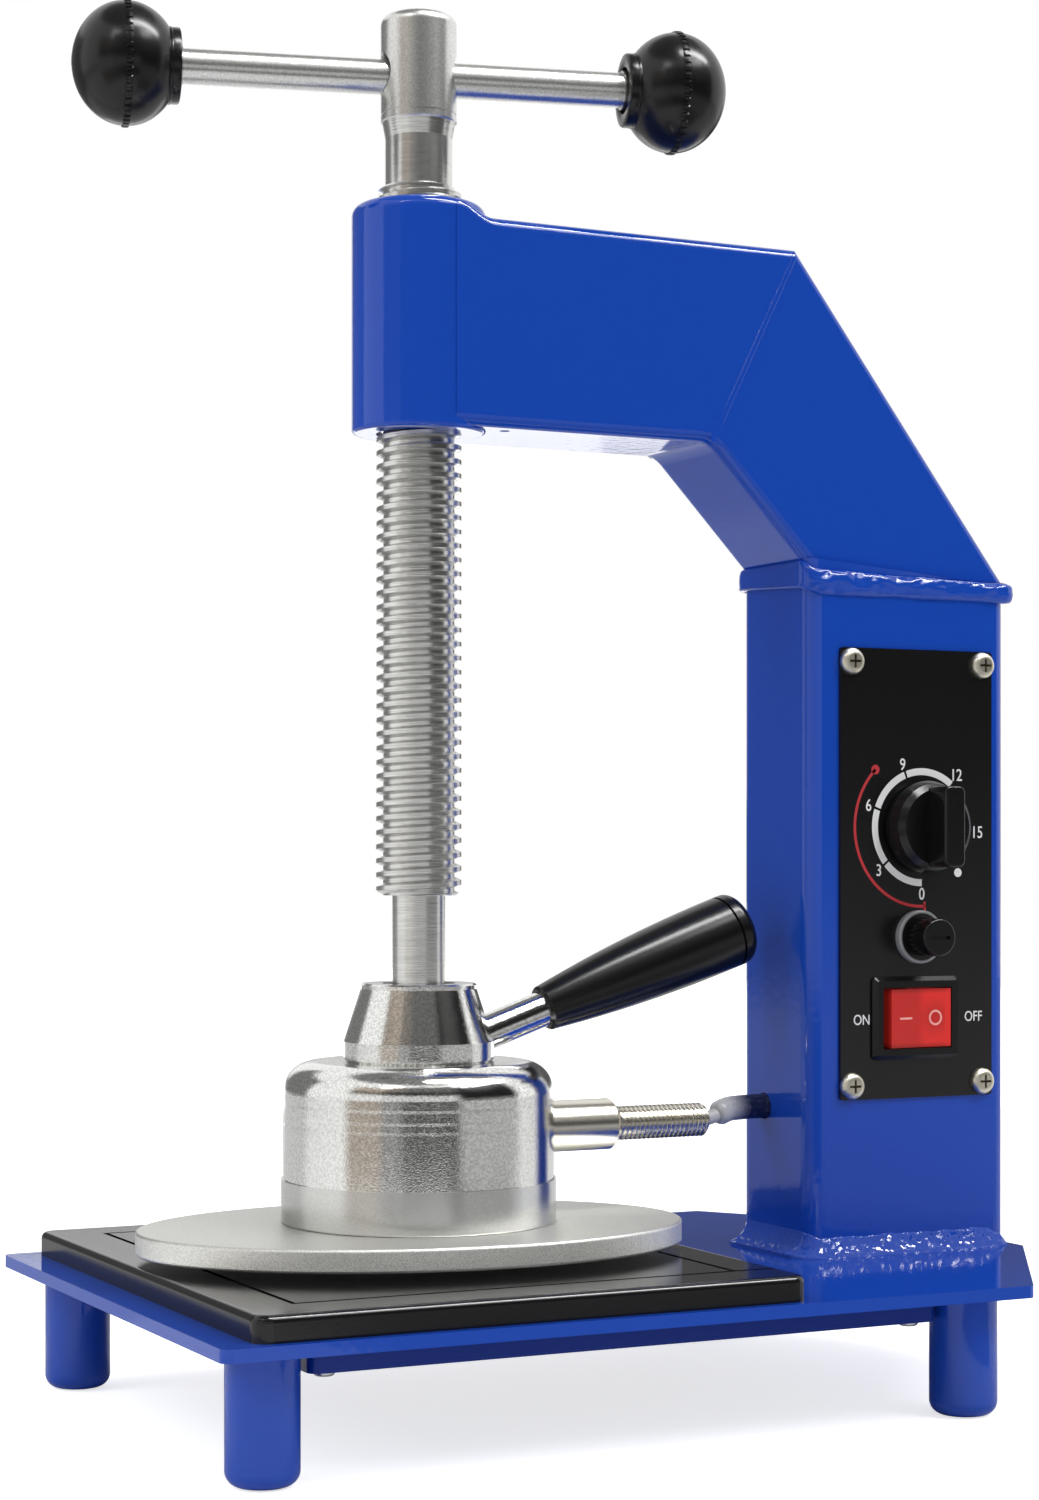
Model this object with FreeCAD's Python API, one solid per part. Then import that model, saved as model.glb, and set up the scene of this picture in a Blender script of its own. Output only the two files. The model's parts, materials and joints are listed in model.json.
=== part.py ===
"""Tabletop tyre vulcanizing press, built from separate pieces.

Shapes are drawn about the screw axis, which stands at x = 0, y = 0 on the floor.
save() moves them so that the origin lies under the middle of the base plate.
+X runs from the screw to the column, -Y faces the control panel, +Z is up.
Lengths are in millimetres and angles in degrees.
"""
import FreeCAD, Part
import math
import os

V = FreeCAD.Vector

# Clearances
running_gap = 0.05      # shaft in a bore that it turns or slides in
body_gap = 0.3          # neighbours that move past each other
weld_size = 3.2         # leg length of the fillet welds

# Base plate and legs
base_length = 240.0     # full-width part of the plate
base_width = 189.0
plate_thickness = 3.5
plate_corner = 3.0
tail_length = 47.0      # narrowing part behind the column
tail_end_width = 50.0
screw_inset = 94.5      # left edge of the plate to the screw axis
leg_height = 34.5
leg_radius = 9.6
leg_foot_round = 4.0
leg_inset_left = 17.4
leg_inset_right = 10.7
leg_inset_side = 18.7

# Cover under the base plate
cover_leg_gap = 1.8     # to the legs at both of its ends
cover_inset_side = 14.5
cover_depth = 7.0
cover_wall = 1.2
cover_screw_radius = 1.5
cover_screw_head_radius = 2.8
cover_screw_head = 1.6
cover_screw_inset = 6.0
cover_lug = 9.0         # side of the square lug that takes each cover screw

# Work platform
platform_length = 159.1
platform_width = 182.8
platform_thickness = 7.0
platform_inset_left = 9.8
platform_corner = 4.5
platform_edge_round = 2.0
groove_width = 1.5
groove_depth = 1.2
groove_inset_left = 16.2
groove_inset_right = 14.4
groove_inset_side = 16.0
platform_screw_radius = 3.0
platform_screw_head_radius = 5.0
platform_screw_head = 4.0
platform_screw_depth = 5.0
platform_screw_inset_x = 38.0
platform_screw_inset_y = 38.0

# Column
throat_depth = 118.5    # screw axis to the front face of the column
column_depth = 71.6
column_width = 41.0
column_wall = 2.5
column_corner = 5.5
column_front_height = 207.9
column_back_height = 201.9

# Arm and knee
arm_width = 38.4
arm_height = 59.2
arm_wall = 2.5
arm_clearance = 241.3   # base plate top to the underside of the arm
arm_edge_round = 3.4
mitre_bottom_x = 85.8
mitre_top_x = 115.2
corner_weld_round = 9.0  # hollow of the weld inside the bend of arm and knee
knee_overhang_front = 0.5
knee_overhang_back = 1.9
knee_weld_height = 6.0
knee_weld_proud = 1.6
boss_radius = 19.2
boss_drop = 1.0
boss_rise = 4.9
boss_edge_round = 3.4
boss_seam_x = 3.0       # where the side plates of the arm meet the boss
boss_fairing_length = 13.5
drain_hole_radius = 1.5
drain_hole_x = 22.0
drain_hole_y = -11.0
nut_radius = 15.5

# Screw spindle
thread_radius = 12.2
thread_pitch = 4.0
thread_depth = 2.0
thread_crest = 1.3
thread_root = 1.0
thread_length = 201.8
thread_chamfer = 1.4
pin_radius = 7.55
pin_exposed = 25.1      # from the top of the cone up to the thread
neck_radius = 9.6
neck_length = 18.6
neck_taper = 4.5        # height over which the neck widens to the hub
spigot_radius = 7.0     # end of the spindle that sits in the hub
hub_radius = 10.85
hub_length = 30.8
hub_top_round = 3.0
hub_chamfer = 0.4
hub_groove_height = 1.9  # above the lower end of the hub
hub_groove_width = 0.6
hub_groove_depth = 0.3
hub_socket_depth = 5.0
hub_hole_radius = 6.0
hub_hole_height = 13.85  # above the lower end of the hub

# Sliding bar
bar_radius = 5.0
bar_angle = -14.55      # direction of its right end, from +X about +Z
ball_radius = 17.1
ball_half_length = 15.1  # along the bar
ball_flat_radius = 1.2   # at the ball's outer end
ball_left = 83.2        # screw axis to the middle of each ball
ball_right = 75.2
ball_collar_radius = 10.55
ball_collar_reach = 15.0
ball_recess_radius = 6.9
ball_recess_depth = 1.5
bar_end_past_centre = 4.0
bar_ring_radius = 5.6
bar_ring_length = 2.2

# Heating head
head_rest_gap = 2.2     # platform to press plate with the screw at rest
press_plate_thickness = 6.5
press_plate_length = 158.0
press_plate_width = 108.0
press_plate_turn = -8.0  # direction of its long axis, from +X about +Z
press_plate_shift_x = -4.0
press_plate_shift_y = -5.0
press_plate_round = 0.8
heater_block_radius = 39.3
heater_block_height = 12.3
heater_cover_radius = 38.7
heater_cover_height = 33.3
heater_cover_round = 8.6
heater_cover_wall = 1.8
element_radius = 27.0
element_tube_radius = 3.2
element_terminal_radius = 1.6
element_terminal_length = 9.0
element_terminal_angle = 16.0
element_groove_gap = 0.2
insulation_thickness = 3.0
insulation_inset = 1.2
thermostat_radius = 8.0
thermostat_height = 7.0
thermostat_offset = 25.0
head_screw_radius = 2.0
head_screw_head_radius = 4.0
head_screw_circle = 34.8
head_screw_depth = 9.0
post_radius = 12.0
post_stub = 3.7         # how far the post reaches into the cone
post_screw_radius = 4.0
post_screw_head_radius = 7.0
post_screw_head = 4.5
post_screw_length = 22.0
cone_height = 22.2
cone_top_radius = 16.6
cone_flange_radius = 21.5
cone_flange_height = 5.7
cone_rim_height = 1.6
cone_recess_radius = 10.5
cone_recess_depth = 1.6
cone_socket_depth = 9.1
washer_thickness = 1.0
washer_bore_radius = 4.0
collar_radius = 9.5
collar_end_gap = 0.1

# Steadying handle of the head
handle_rise_angle = 19.3
handle_rod_radius = 5.25
handle_rod_start = 16.5
grip_start = 41.7
grip_length = 71.0
grip_small_radius = 6.7
grip_big_radius = 11.0
grip_belly_radius = 10.1
grip_end_round = 3.2
grip_bore_depth = 34.0

# Heater conduit and lead
conduit_height = 25.05  # above the underside of the heater block
coupling_radius = 7.5
coupling_length = 23.6
coupling_chamfer = 1.3
coupling_neck_radius = 4.8
coupling_engagement = 7.0
nipple_radius = 5.0
nipple_length = 31.3
nipple_pitch = 1.5
nipple_thread_depth = 0.75
nipple_crest = 0.3
nipple_root = 0.25
nipple_chamfer = 1.0
nipple_relief = 0.4
conduit_bore_radius = 3.2
lead_radius = 2.1
lead_step = 2.6         # how much higher the lead runs beyond the conduit
lead_side_offset = 6.0  # towards the back of the column
sleeve_radius = 3.7
sleeve_start = 98.2
lead_hole_gap = 0.3

# Control panel
panel_left = 10.1       # column front face to the panel's left edge
panel_width = 54.7
panel_height = 135.7
panel_bottom = 46.6     # above the base plate
panel_thickness = 1.0
panel_corner = 1.0
panel_screw_radius = 2.0
panel_screw_head_radius = 4.0
panel_screw_head = 2.4
panel_screw_inset_x = 3.8
panel_screw_inset_z = 4.2
panel_screw_length = 7.0
window_width = 37.6
window_bottom = 8.8     # above the panel's lower edge
window_height = 98.0

# Timer
timer_x = 39.1          # from the column front face
timer_z = 81.9          # above the panel's lower edge
timer_width = 35.0
timer_height = 42.0
timer_depth = 28.0
timer_bush_radius = 4.75
timer_bush_length = 3.4
timer_shaft_radius = 3.0
timer_shaft_sink = 12.0
timer_nut_across = 13.0
timer_nut_thickness = 2.0
knob_radius = 14.0
knob_standoff = 0.6
knob_skirt_height = 8.0
knob_recess_radius = 9.0
knob_recess_depth = 3.6
knob_grip_width = 7.2
knob_grip_length = 24.3
knob_height = 18.0
knob_bore_end = 3.0

# Fuse holder
fuse_x = 37.7
fuse_z = 48.7
fuse_flange_radius = 8.1
fuse_flange_thickness = 2.2
fuse_barrel_radius = 6.0
fuse_barrel_length = 27.0
fuse_bore_radius = 3.6
fuse_nut_across = 15.0
fuse_nut_thickness = 2.5
fuse_cap_radius = 5.7
fuse_cap_height = 9.6
fuse_cap_stem = 5.0
fuse_cap_groove_radius = 0.4
fuse_cap_grooves = 24
cartridge_radius = 2.6
cartridge_length = 20.0

# Rocker switch
switch_x = 36.4
switch_z = 24.2
bezel_width = 31.0
bezel_height = 25.0
bezel_thickness = 2.0
bezel_corner = 1.7
bezel_slope = 1.3       # how far its sides lean in
well_width = 24.6
well_height = 18.4
housing_wall = 1.4
housing_depth = 16.0
rocker_length = 22.6
rocker_height = 17.6
rocker_angle = 4.5      # each half leans this much from the middle position
rocker_proud = 0.2      # middle of the rocker in front of the bezel
rocker_pivot_depth = 5.5
rocker_depth = 9.0
rocker_pin_radius = 1.4
rocker_pin_length = 1.3
blade_width = 4.8
blade_thickness = 0.8
blade_length = 8.0
blade_spacing = 12.0

# Terminal block and mains gland
block_x = 15.8
block_length = 24.0
block_height = 14.0
block_depth = 14.0
block_screw_radius = 1.5
gland_height = 22.0     # above the base plate
gland_stem_radius = 6.0
gland_bore_radius = 3.6
gland_hex_across = 17.0
gland_hex_length = 4.5
gland_dome_length = 3.5
gland_nut_thickness = 3.0
gland_dome_radius = 7.0

# Levels that follow from the sizes above
plate_bottom = leg_height
plate_top = plate_bottom + plate_thickness
platform_top = plate_top + platform_thickness
press_plate_bottom = platform_top + head_rest_gap
block_bottom = press_plate_bottom + press_plate_thickness
block_top = block_bottom + heater_block_height
cone_bottom = block_top + heater_cover_height
cone_top = cone_bottom + cone_height
thread_bottom = cone_top + pin_exposed
thread_top = thread_bottom + thread_length
hub_bottom = thread_top + neck_length
hub_hole_z = hub_bottom + hub_hole_height
bar_z = hub_hole_z - (hub_hole_radius - bar_radius - running_gap)
arm_bottom = plate_top + arm_clearance
arm_top = arm_bottom + arm_height
boss_bottom = arm_bottom - boss_drop
boss_top = arm_top + boss_rise
conduit_z = block_bottom + conduit_height
lead_z = conduit_z + lead_step

base_left = -screw_inset
base_right = base_left + base_length
tail_end = base_right + tail_length
column_front = throat_depth
column_back = column_front + column_depth
column_side = column_width / 2.0
panel_x0 = column_front + panel_left
panel_z0 = plate_top + panel_bottom
panel_back = -column_side
panel_face = panel_back - panel_thickness
window_x0 = panel_x0 + (panel_width - window_width) / 2.0 + 0.9
frame_shift = V(-(base_left + tail_end) / 2.0, 0, 0)


def save(node, shape):
    """Move one node's solids into the part's frame and write them."""
    placed = shape.copy()
    placed.translate(frame_shift)
    assert placed.isValid(), node
    assert placed.Solids, node
    placed.exportStep("parts/" + node + ".step")


def box(x0, x1, y0, y1, z0, z1):
    return Part.makeBox(x1 - x0, y1 - y0, z1 - z0, V(x0, y0, z0))


def rod(radius, start, end):
    """A round bar between two points."""
    axis = end - start
    return Part.makeCylinder(radius, axis.Length, start, axis)


def upright(radius, z0, z1, x=0.0, y=0.0):
    return Part.makeCylinder(radius, z1 - z0, V(x, y, z0))


def ring(outer, inner, z0, z1, x=0.0, y=0.0):
    return upright(outer, z0, z1, x, y).cut(upright(inner, z0 - 1, z1 + 1, x, y))


def turned(points, x=0.0, y=0.0):
    """Turn a closed outline of (radius, z) points about an upright axis."""
    corners = [V(x + r, y, z) for r, z in points]
    face = Part.Face(Part.makePolygon(corners + [corners[0]]))
    return face.revolve(V(x, y, 0), V(0, 0, 1), 360)


def side_prism(points, half_width):
    """Extrude an outline of (x, z) points evenly to both sides of y = 0."""
    corners = [V(x, -half_width, z) for x, z in points]
    face = Part.Face(Part.makePolygon(corners + [corners[0]]))
    return face.extrude(V(0, 2 * half_width, 0))


def flat_prism(points, z0, z1):
    corners = [V(x, y, z0) for x, y in points]
    face = Part.Face(Part.makePolygon(corners + [corners[0]]))
    return face.extrude(V(0, 0, z1 - z0))


def upright_edges(shape):
    return [e for e in shape.Edges if along(e, V(0, 0, 1))]


def along(edge, direction):
    """True for a straight edge that runs along the direction."""
    if not isinstance(edge.Curve, Part.Line):
        return False
    tangent = edge.tangentAt(edge.FirstParameter)
    return tangent.cross(direction).Length < 1e-6


def edges_at_z(shape, z):
    return [e for e in shape.Edges if abs(e.BoundBox.ZMin - z) < 1e-6 and abs(e.BoundBox.ZMax - z) < 1e-6]


def hexagon(across, z0, z1, x=0.0, y=0.0):
    corner = across / math.sqrt(3.0)
    points = [(x + corner * math.cos(math.radians(60 * i)), y + corner * math.sin(math.radians(60 * i)))
              for i in range(6)]
    return flat_prism(points, z0, z1)


def facing_panel(shape, x, z):
    """Turn a shape drawn about +Z so that +Z points out of the panel, and put it on the panel's face."""
    turned_shape = shape.copy()
    turned_shape.rotate(V(0, 0, 0), V(1, 0, 0), 90)
    turned_shape.translate(V(x, panel_face, z))
    return turned_shape


def helical_thread(crest_radius, depth, pitch, crest, root, z0, z1):
    """A right-hand thread: a round core with one ridge wound about it."""
    core_radius = crest_radius - depth
    sunk = depth * 0.2
    slope = (pitch - root - crest) / 2.0 / depth
    foot = (pitch - root) / 2.0 + sunk * slope
    start = z0 - pitch
    spine = Part.Wire(Part.makeLongHelix(pitch, z1 - z0 + 2 * pitch, core_radius, 0, False).Edges)
    spine.translate(V(0, 0, start))
    corners = [V(core_radius - sunk, 0, start - foot), V(crest_radius, 0, start - crest / 2.0),
               V(crest_radius, 0, start + crest / 2.0), V(core_radius - sunk, 0, start + foot)]
    sweep = Part.BRepOffsetAPI.MakePipeShell(spine)
    sweep.setFrenetMode(True)
    sweep.add(Part.makePolygon(corners + [corners[0]]))
    sweep.build()
    sweep.makeSolid()
    ridge = sweep.shape().common(upright(crest_radius + 1, z0, z1))
    return upright(core_radius, z0, z1).fuse(ridge)


def pointed_ends(radius, chamfer_start, chamfer_end, z0, z1):
    """A turned body that trims a thread: it clears the crest and cuts the ends at 45 degrees."""
    over = 1.0
    wide = radius + over
    return turned([(0, z0), (radius - chamfer_start, z0), (wide, z0 + chamfer_start + over),
                   (wide, z1 - chamfer_end - over), (radius - chamfer_end, z1), (0, z1)])


# Base

def leg_places():
    near = base_width / 2.0 - leg_inset_side
    left = base_left + leg_inset_left
    right = base_right - leg_inset_right
    return [(left, -near), (left, near), (right, -near), (right, near)]


def cover_bounds():
    """The cover lies between the left and the right pair of legs."""
    reach = leg_radius + cover_leg_gap
    x0 = base_left + leg_inset_left + reach
    x1 = base_right - leg_inset_right - reach
    side = base_width / 2.0 - cover_inset_side
    return x0, x1, -side, side


def cover_screw_places():
    x0, x1, y0, y1 = cover_bounds()
    i = cover_screw_inset
    return [(x0 + i, y0 + i), (x0 + i, y1 - i), (x1 - i, y0 + i), (x1 - i, y1 - i)]


def platform_bounds():
    x0 = base_left + platform_inset_left
    return x0, x0 + platform_length, -platform_width / 2.0, platform_width / 2.0


def platform_screw_places():
    x0, x1, y0, y1 = platform_bounds()
    dx, dy = platform_screw_inset_x, platform_screw_inset_y
    return [(x0 + dx, y0 + dy), (x0 + dx, y1 - dy), (x1 - dx, y0 + dy), (x1 - dx, y1 - dy)]


def base_plate():
    half = base_width / 2.0
    end = tail_end_width / 2.0
    outline = [(base_left, -half), (base_right, -half), (tail_end, -end),
               (tail_end, end), (base_right, half), (base_left, half)]
    plate = flat_prism(outline, plate_bottom, plate_top)
    plate = plate.makeFillet(plate_corner, upright_edges(plate))
    for x, y in cover_screw_places():
        plate = plate.cut(upright(cover_screw_radius, plate_bottom - 1, plate_top - 1, x, y))
    for x, y in platform_screw_places():
        plate = plate.cut(upright(platform_screw_radius, plate_bottom - 1, plate_top + 1, x, y))
    return plate


def legs():
    made = []
    for x, y in leg_places():
        leg = upright(leg_radius, 0, leg_height, x, y)
        made.append(leg.makeFillet(leg_foot_round, edges_at_z(leg, 0)))
    return Part.makeCompound(made)


def bottom_cover():
    x0, x1, y0, y1 = cover_bounds()
    floor = plate_bottom - cover_depth
    w = cover_wall
    tray = box(x0, x1, y0, y1, floor, plate_bottom)
    tray = tray.makeFillet(plate_corner, upright_edges(tray))
    tray = tray.cut(box(x0 + w, x1 - w, y0 + w, y1 - w, floor + w, plate_bottom + 1))
    inner = box(x0 + w / 2, x1 - w / 2, y0 + w / 2, y1 - w / 2, floor, plate_bottom)
    for x, y in cover_screw_places():
        reach = cover_lug / 2.0
        lug = box(x - reach, x + reach, y - reach, y + reach, floor + w / 2, plate_bottom)
        tray = tray.fuse(lug.common(inner))
    for x, y in cover_screw_places():
        tray = tray.cut(upright(cover_screw_radius, floor - 1, plate_bottom + 1, x, y))
    return tray.removeSplitter()


def bottom_cover_screws():
    floor = plate_bottom - cover_depth
    made = []
    for x, y in cover_screw_places():
        head = upright(cover_screw_head_radius, floor - cover_screw_head, floor, x, y)
        head = head.makeFillet(cover_screw_head * 0.6, edges_at_z(head, floor - cover_screw_head))
        shank = upright(cover_screw_radius, floor - cover_screw_head / 2.0, plate_top - 1.2, x, y)
        made.append(head.fuse(shank).removeSplitter())
    return Part.makeCompound(made)


def platform():
    x0, x1, y0, y1 = platform_bounds()
    slab = box(x0, x1, y0, y1, plate_top, platform_top)
    slab = slab.makeFillet(platform_corner, upright_edges(slab))
    slab = slab.makeFillet(platform_edge_round, edges_at_z(slab, platform_top))
    gx0 = x0 + groove_inset_left
    gx1 = x1 - groove_inset_right
    gy = y1 - groove_inset_side
    g = groove_width / 2.0
    z0 = platform_top - groove_depth
    z1 = platform_top + 1
    for y in (-gy, gy):
        slab = slab.cut(box(gx0 - g, x1 + 1, y - g, y + g, z0, z1))
    for x in (gx0, gx1):
        slab = slab.cut(box(x - g, x + g, -gy - g, gy + g, z0, z1))
    for x, y in platform_screw_places():
        slab = slab.cut(upright(platform_screw_radius, plate_top - 1, plate_top + platform_screw_depth, x, y))
    return slab


def platform_screws():
    made = []
    for x, y in platform_screw_places():
        head = hexagon(2 * platform_screw_head_radius, plate_bottom - platform_screw_head, plate_bottom, x, y)
        shank = upright(platform_screw_radius, plate_bottom - 1, plate_top + platform_screw_depth - 0.5, x, y)
        made.append(head.fuse(shank).removeSplitter())
    return Part.makeCompound(made)


# Column, knee and arm

def column_block(grow=0.0, front_z=None, back_z=None, bottom=None):
    """The column's outer shape with its sloping top, made larger all round by grow."""
    front_z = plate_top + column_front_height if front_z is None else front_z
    back_z = plate_top + column_back_height if back_z is None else back_z
    bottom = plate_top if bottom is None else bottom
    x0, x1 = column_front - grow, column_back + grow
    outline = [(x0, bottom), (x1, bottom), (x1, back_z), (x0, front_z)]
    block = side_prism(outline, column_side + grow)
    return block.makeFillet(column_corner + grow, upright_edges(block))


def panel_screw_places():
    x0, z0 = panel_x0 + panel_screw_inset_x, panel_z0 + panel_screw_inset_z
    x1 = panel_x0 + panel_width - panel_screw_inset_x
    z1 = panel_z0 + panel_height - panel_screw_inset_z
    return [(x0, z0), (x1, z0), (x0, z1), (x1, z1)]


def column_tube():
    w = column_wall
    bore = box(column_front + w, column_back - w, -column_side + w, column_side - w,
               plate_top - 1, plate_top + column_front_height + 1)
    bore = bore.makeFillet(column_corner - w, upright_edges(bore))
    tube = column_block().cut(bore)
    window_z0 = panel_z0 + window_bottom
    tube = tube.cut(box(window_x0, window_x0 + window_width, -column_side - 1, -column_side + w + 1,
                        window_z0, window_z0 + window_height))
    for x, z in panel_screw_places():
        tube = tube.cut(rod(panel_screw_radius, V(x, -column_side - 1, z), V(x, -column_side + w + 1, z)))
    lead_hole = sleeve_radius + lead_hole_gap
    tube = tube.cut(rod(lead_hole, V(column_front - 1, lead_side_offset, lead_z),
                        V(column_front + w + 1, lead_side_offset, lead_z)))
    gland_z = plate_top + gland_height
    tube = tube.cut(rod(gland_stem_radius, V(column_back - w - 1, 0, gland_z), V(column_back + 1, 0, gland_z)))
    x, y, z = block_screw_place()
    tube = tube.cut(rod(block_screw_radius, V(x, column_side - w - 1, z), V(x, column_side + 1, z)))
    return tube


def column_top_z(x):
    """Height of the column's sloping top edge."""
    fall = (column_front_height - column_back_height) / column_depth
    return plate_top + column_front_height - fall * (x - column_front)


def knee_outline():
    x0, x1 = column_front - knee_overhang_front, column_back + knee_overhang_back
    lower_front = (x0, column_top_z(x0))
    lower_back = (x1, column_top_z(x1))
    return [lower_front, lower_back, (mitre_top_x, arm_top), (mitre_bottom_x, arm_bottom)]


def shifted_line(a, b, distance):
    """Two points of the line a to b, moved to its left by distance and run on past both ends."""
    dx, dz = b[0] - a[0], b[1] - a[1]
    length = math.hypot(dx, dz)
    ux, uz = dx / length, dz / length
    nx, nz = -uz * distance, ux * distance
    reach = 8.0
    return ((a[0] + nx - ux * reach, a[1] + nz - uz * reach), (b[0] + nx + ux * reach, b[1] + nz + uz * reach))


def bend_weld_point(share):
    """A point of the hollow weld inside the bend: 0 where it leaves the arm, 1 where it meets the knee."""
    lower_front, lower_back, upper_back, upper_front = knee_outline()
    turn = math.atan2(upper_front[1] - lower_front[1], lower_front[0] - upper_front[0])
    off = corner_weld_round / math.cos(turn / 2.0)
    centre = V(upper_front[0] - off * math.sin(turn / 2.0), 0, upper_front[1] - off * math.cos(turn / 2.0))
    return centre + V(math.sin(turn * share), 0, math.cos(turn * share)) * corner_weld_round


def bend_weld(start, end):
    middle = bend_weld_point((start + end) / 2.0)
    return Part.Arc(bend_weld_point(start), middle, bend_weld_point(end)).toShape()


def rounded_bar(edges, sharp):
    """A bar as wide as the arm from a closed row of edges; its long edges are rounded but for the sharp ones."""
    side = Part.Face(Part.Wire(edges))
    side.translate(V(0, -arm_width / 2.0, 0))
    bar = side.extrude(V(0, arm_width, 0))
    sharp_middles = [e.BoundBox.Center for e in sharp]
    rounded = []
    for edge in bar.Edges:
        if edge.BoundBox.YLength > 1e-6:
            continue
        middle = V(edge.BoundBox.Center.x, 0, edge.BoundBox.Center.z)
        if all((middle - m).Length > 0.01 for m in sharp_middles):
            rounded.append(edge)
    return bar.makeFillet(arm_edge_round, rounded)


def knee_tube():
    lower_front, lower_back, upper_back, upper_front = knee_outline()
    knee_foot, knee_back = V(lower_front[0], 0, lower_front[1]), V(lower_back[0], 0, lower_back[1])
    knee_top = V(upper_back[0], 0, upper_back[1])
    mitre = Part.makeLine(knee_top, bend_weld_point(0.5))
    foot = Part.makeLine(knee_foot, knee_back)
    edges = [mitre, bend_weld(0.5, 1.0), Part.makeLine(bend_weld_point(1.0), knee_foot), foot,
             Part.makeLine(knee_back, knee_top)]
    outer = rounded_bar(edges, [mitre, foot])
    back0, back1 = shifted_line(lower_back, upper_back, arm_wall)
    front0, front1 = shifted_line(upper_front, lower_front, arm_wall)
    bore = side_prism([back0, back1, front0, front1], arm_width / 2.0 - arm_wall)
    return outer.cut(bore)


def arm_tube():
    """The straight arm from the boss to the mitre, with a raised fairing against the boss."""
    fairing_end = boss_seam_x + boss_fairing_length
    start = V(boss_seam_x, 0, boss_top)
    halfway = V((boss_seam_x + fairing_end) / 2.0, 0, (boss_top + arm_top) / 2.0)
    finish = V(fairing_end, 0, arm_top)
    curve = Part.BSplineCurve()
    curve.interpolate(Points=[start, halfway, finish], InitialTangent=V(1, 0, 0), FinalTangent=V(1, 0, 0))
    corner, knee_top = V(boss_seam_x, 0, arm_bottom), V(mitre_top_x, 0, arm_top)
    mitre = Part.makeLine(bend_weld_point(0.5), knee_top)
    seam = Part.makeLine(start, corner)
    edges = [Part.makeLine(corner, bend_weld_point(0.0)), bend_weld(0.0, 0.5), mitre,
             Part.makeLine(knee_top, finish), curve.toShape(), seam]
    outer = rounded_bar(edges, [mitre, seam])
    w = arm_wall
    bore = side_prism([(boss_seam_x - 1, arm_bottom + w), (mitre_bottom_x + 9, arm_bottom + w),
                       (mitre_top_x + 9, arm_top - w), (boss_seam_x - 1, arm_top - w)], arm_width / 2.0 - w)
    tube = outer.cut(bore)
    drain = upright(drain_hole_radius, arm_bottom - 1, arm_bottom + w + 1, drain_hole_x, drain_hole_y)
    tube = tube.cut(drain)
    return tube.cut(upright(boss_radius, boss_bottom - 1, boss_top + 1))


def arm_boss():
    boss = upright(boss_radius, boss_bottom, boss_top)
    boss = boss.makeFillet(boss_edge_round, edges_at_z(boss, boss_top))
    boss = boss.makeFillet(1.2, edges_at_z(boss, boss_bottom))
    return boss.cut(upright(nut_radius, boss_bottom - 1, boss_top + 1))


def screw_nut():
    return ring(nut_radius, thread_radius + running_gap, boss_bottom, boss_top)


def foot_weld():
    """Fillet weld round the foot of the column: a skirt that slopes from the column to the plate."""
    bottom = column_block(weld_size, plate_top + weld_size, plate_top + weld_size)
    top_edges = edges_at_z(bottom, plate_top + weld_size)
    bead = bottom.makeChamfer(weld_size * 0.8, top_edges)
    return bead.cut(column_block())


def knee_weld():
    """Bead round the joint of knee and column, a little proud of both."""
    half = knee_weld_height / 2.0
    x0 = column_front - knee_overhang_front - knee_weld_proud
    x1 = column_back + knee_overhang_back + knee_weld_proud
    outline = [(x0, column_top_z(x0) - half), (x1, column_top_z(x1) - half),
               (x1, column_top_z(x1) + half), (x0, column_top_z(x0) + half)]
    bead = side_prism(outline, column_side + knee_weld_proud)
    bead = bead.makeFillet(column_corner, upright_edges(bead))
    lower_front, lower_back, upper_back, upper_front = knee_outline()
    solid_knee = side_prism([lower_front, lower_back, upper_back, upper_front], arm_width / 2.0)
    bead = bead.cut(column_block())
    return bead.cut(solid_knee)


# Screw and bar

def screw_spindle():
    thread = helical_thread(thread_radius, thread_depth, thread_pitch, thread_crest, thread_root,
                            thread_bottom, thread_top)
    c = thread_chamfer
    thread = thread.common(pointed_ends(thread_radius, c, c, thread_bottom, thread_top))
    collar_bottom = cone_bottom + post_stub + washer_thickness + running_gap
    collar_top = cone_bottom + cone_socket_depth - collar_end_gap
    pin = upright(pin_radius, collar_bottom, thread_bottom + 1)
    collar = upright(collar_radius, collar_bottom, collar_top)
    flare = hub_radius - hub_chamfer
    neck = turned([(0, thread_top - 1), (neck_radius, thread_top - 1), (neck_radius, hub_bottom - neck_taper),
                   (flare, hub_bottom), (spigot_radius, hub_bottom),
                   (spigot_radius, hub_bottom + hub_socket_depth), (0, hub_bottom + hub_socket_depth)])
    return thread.fuse([pin, collar, neck]).removeSplitter()


def bar_direction():
    a = math.radians(bar_angle)
    return V(math.cos(a), math.sin(a), 0)


def screw_hub():
    top = hub_bottom + hub_length
    c = hub_chamfer
    hub = turned([(0, hub_bottom), (hub_radius - c, hub_bottom), (hub_radius, hub_bottom + c),
                  (hub_radius, top), (0, top)])
    hub = hub.makeFillet(hub_top_round, edges_at_z(hub, top))
    hub = hub.cut(upright(spigot_radius, hub_bottom - 1, hub_bottom + hub_socket_depth))
    groove = hub_bottom + hub_groove_height
    hub = hub.cut(ring(hub_radius + 1, hub_radius - hub_groove_depth, groove, groove + hub_groove_width))
    d = bar_direction() * (hub_radius + 2)
    centre = V(0, 0, hub_hole_z)
    return hub.cut(rod(hub_hole_radius, centre - d, centre + d))


def bar_point(distance):
    return V(0, 0, bar_z) + bar_direction() * distance


def tommy_bar():
    left = bar_point(-ball_left - bar_end_past_centre)
    right = bar_point(ball_right + bar_end_past_centre)
    return rod(bar_radius, left, right)


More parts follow.
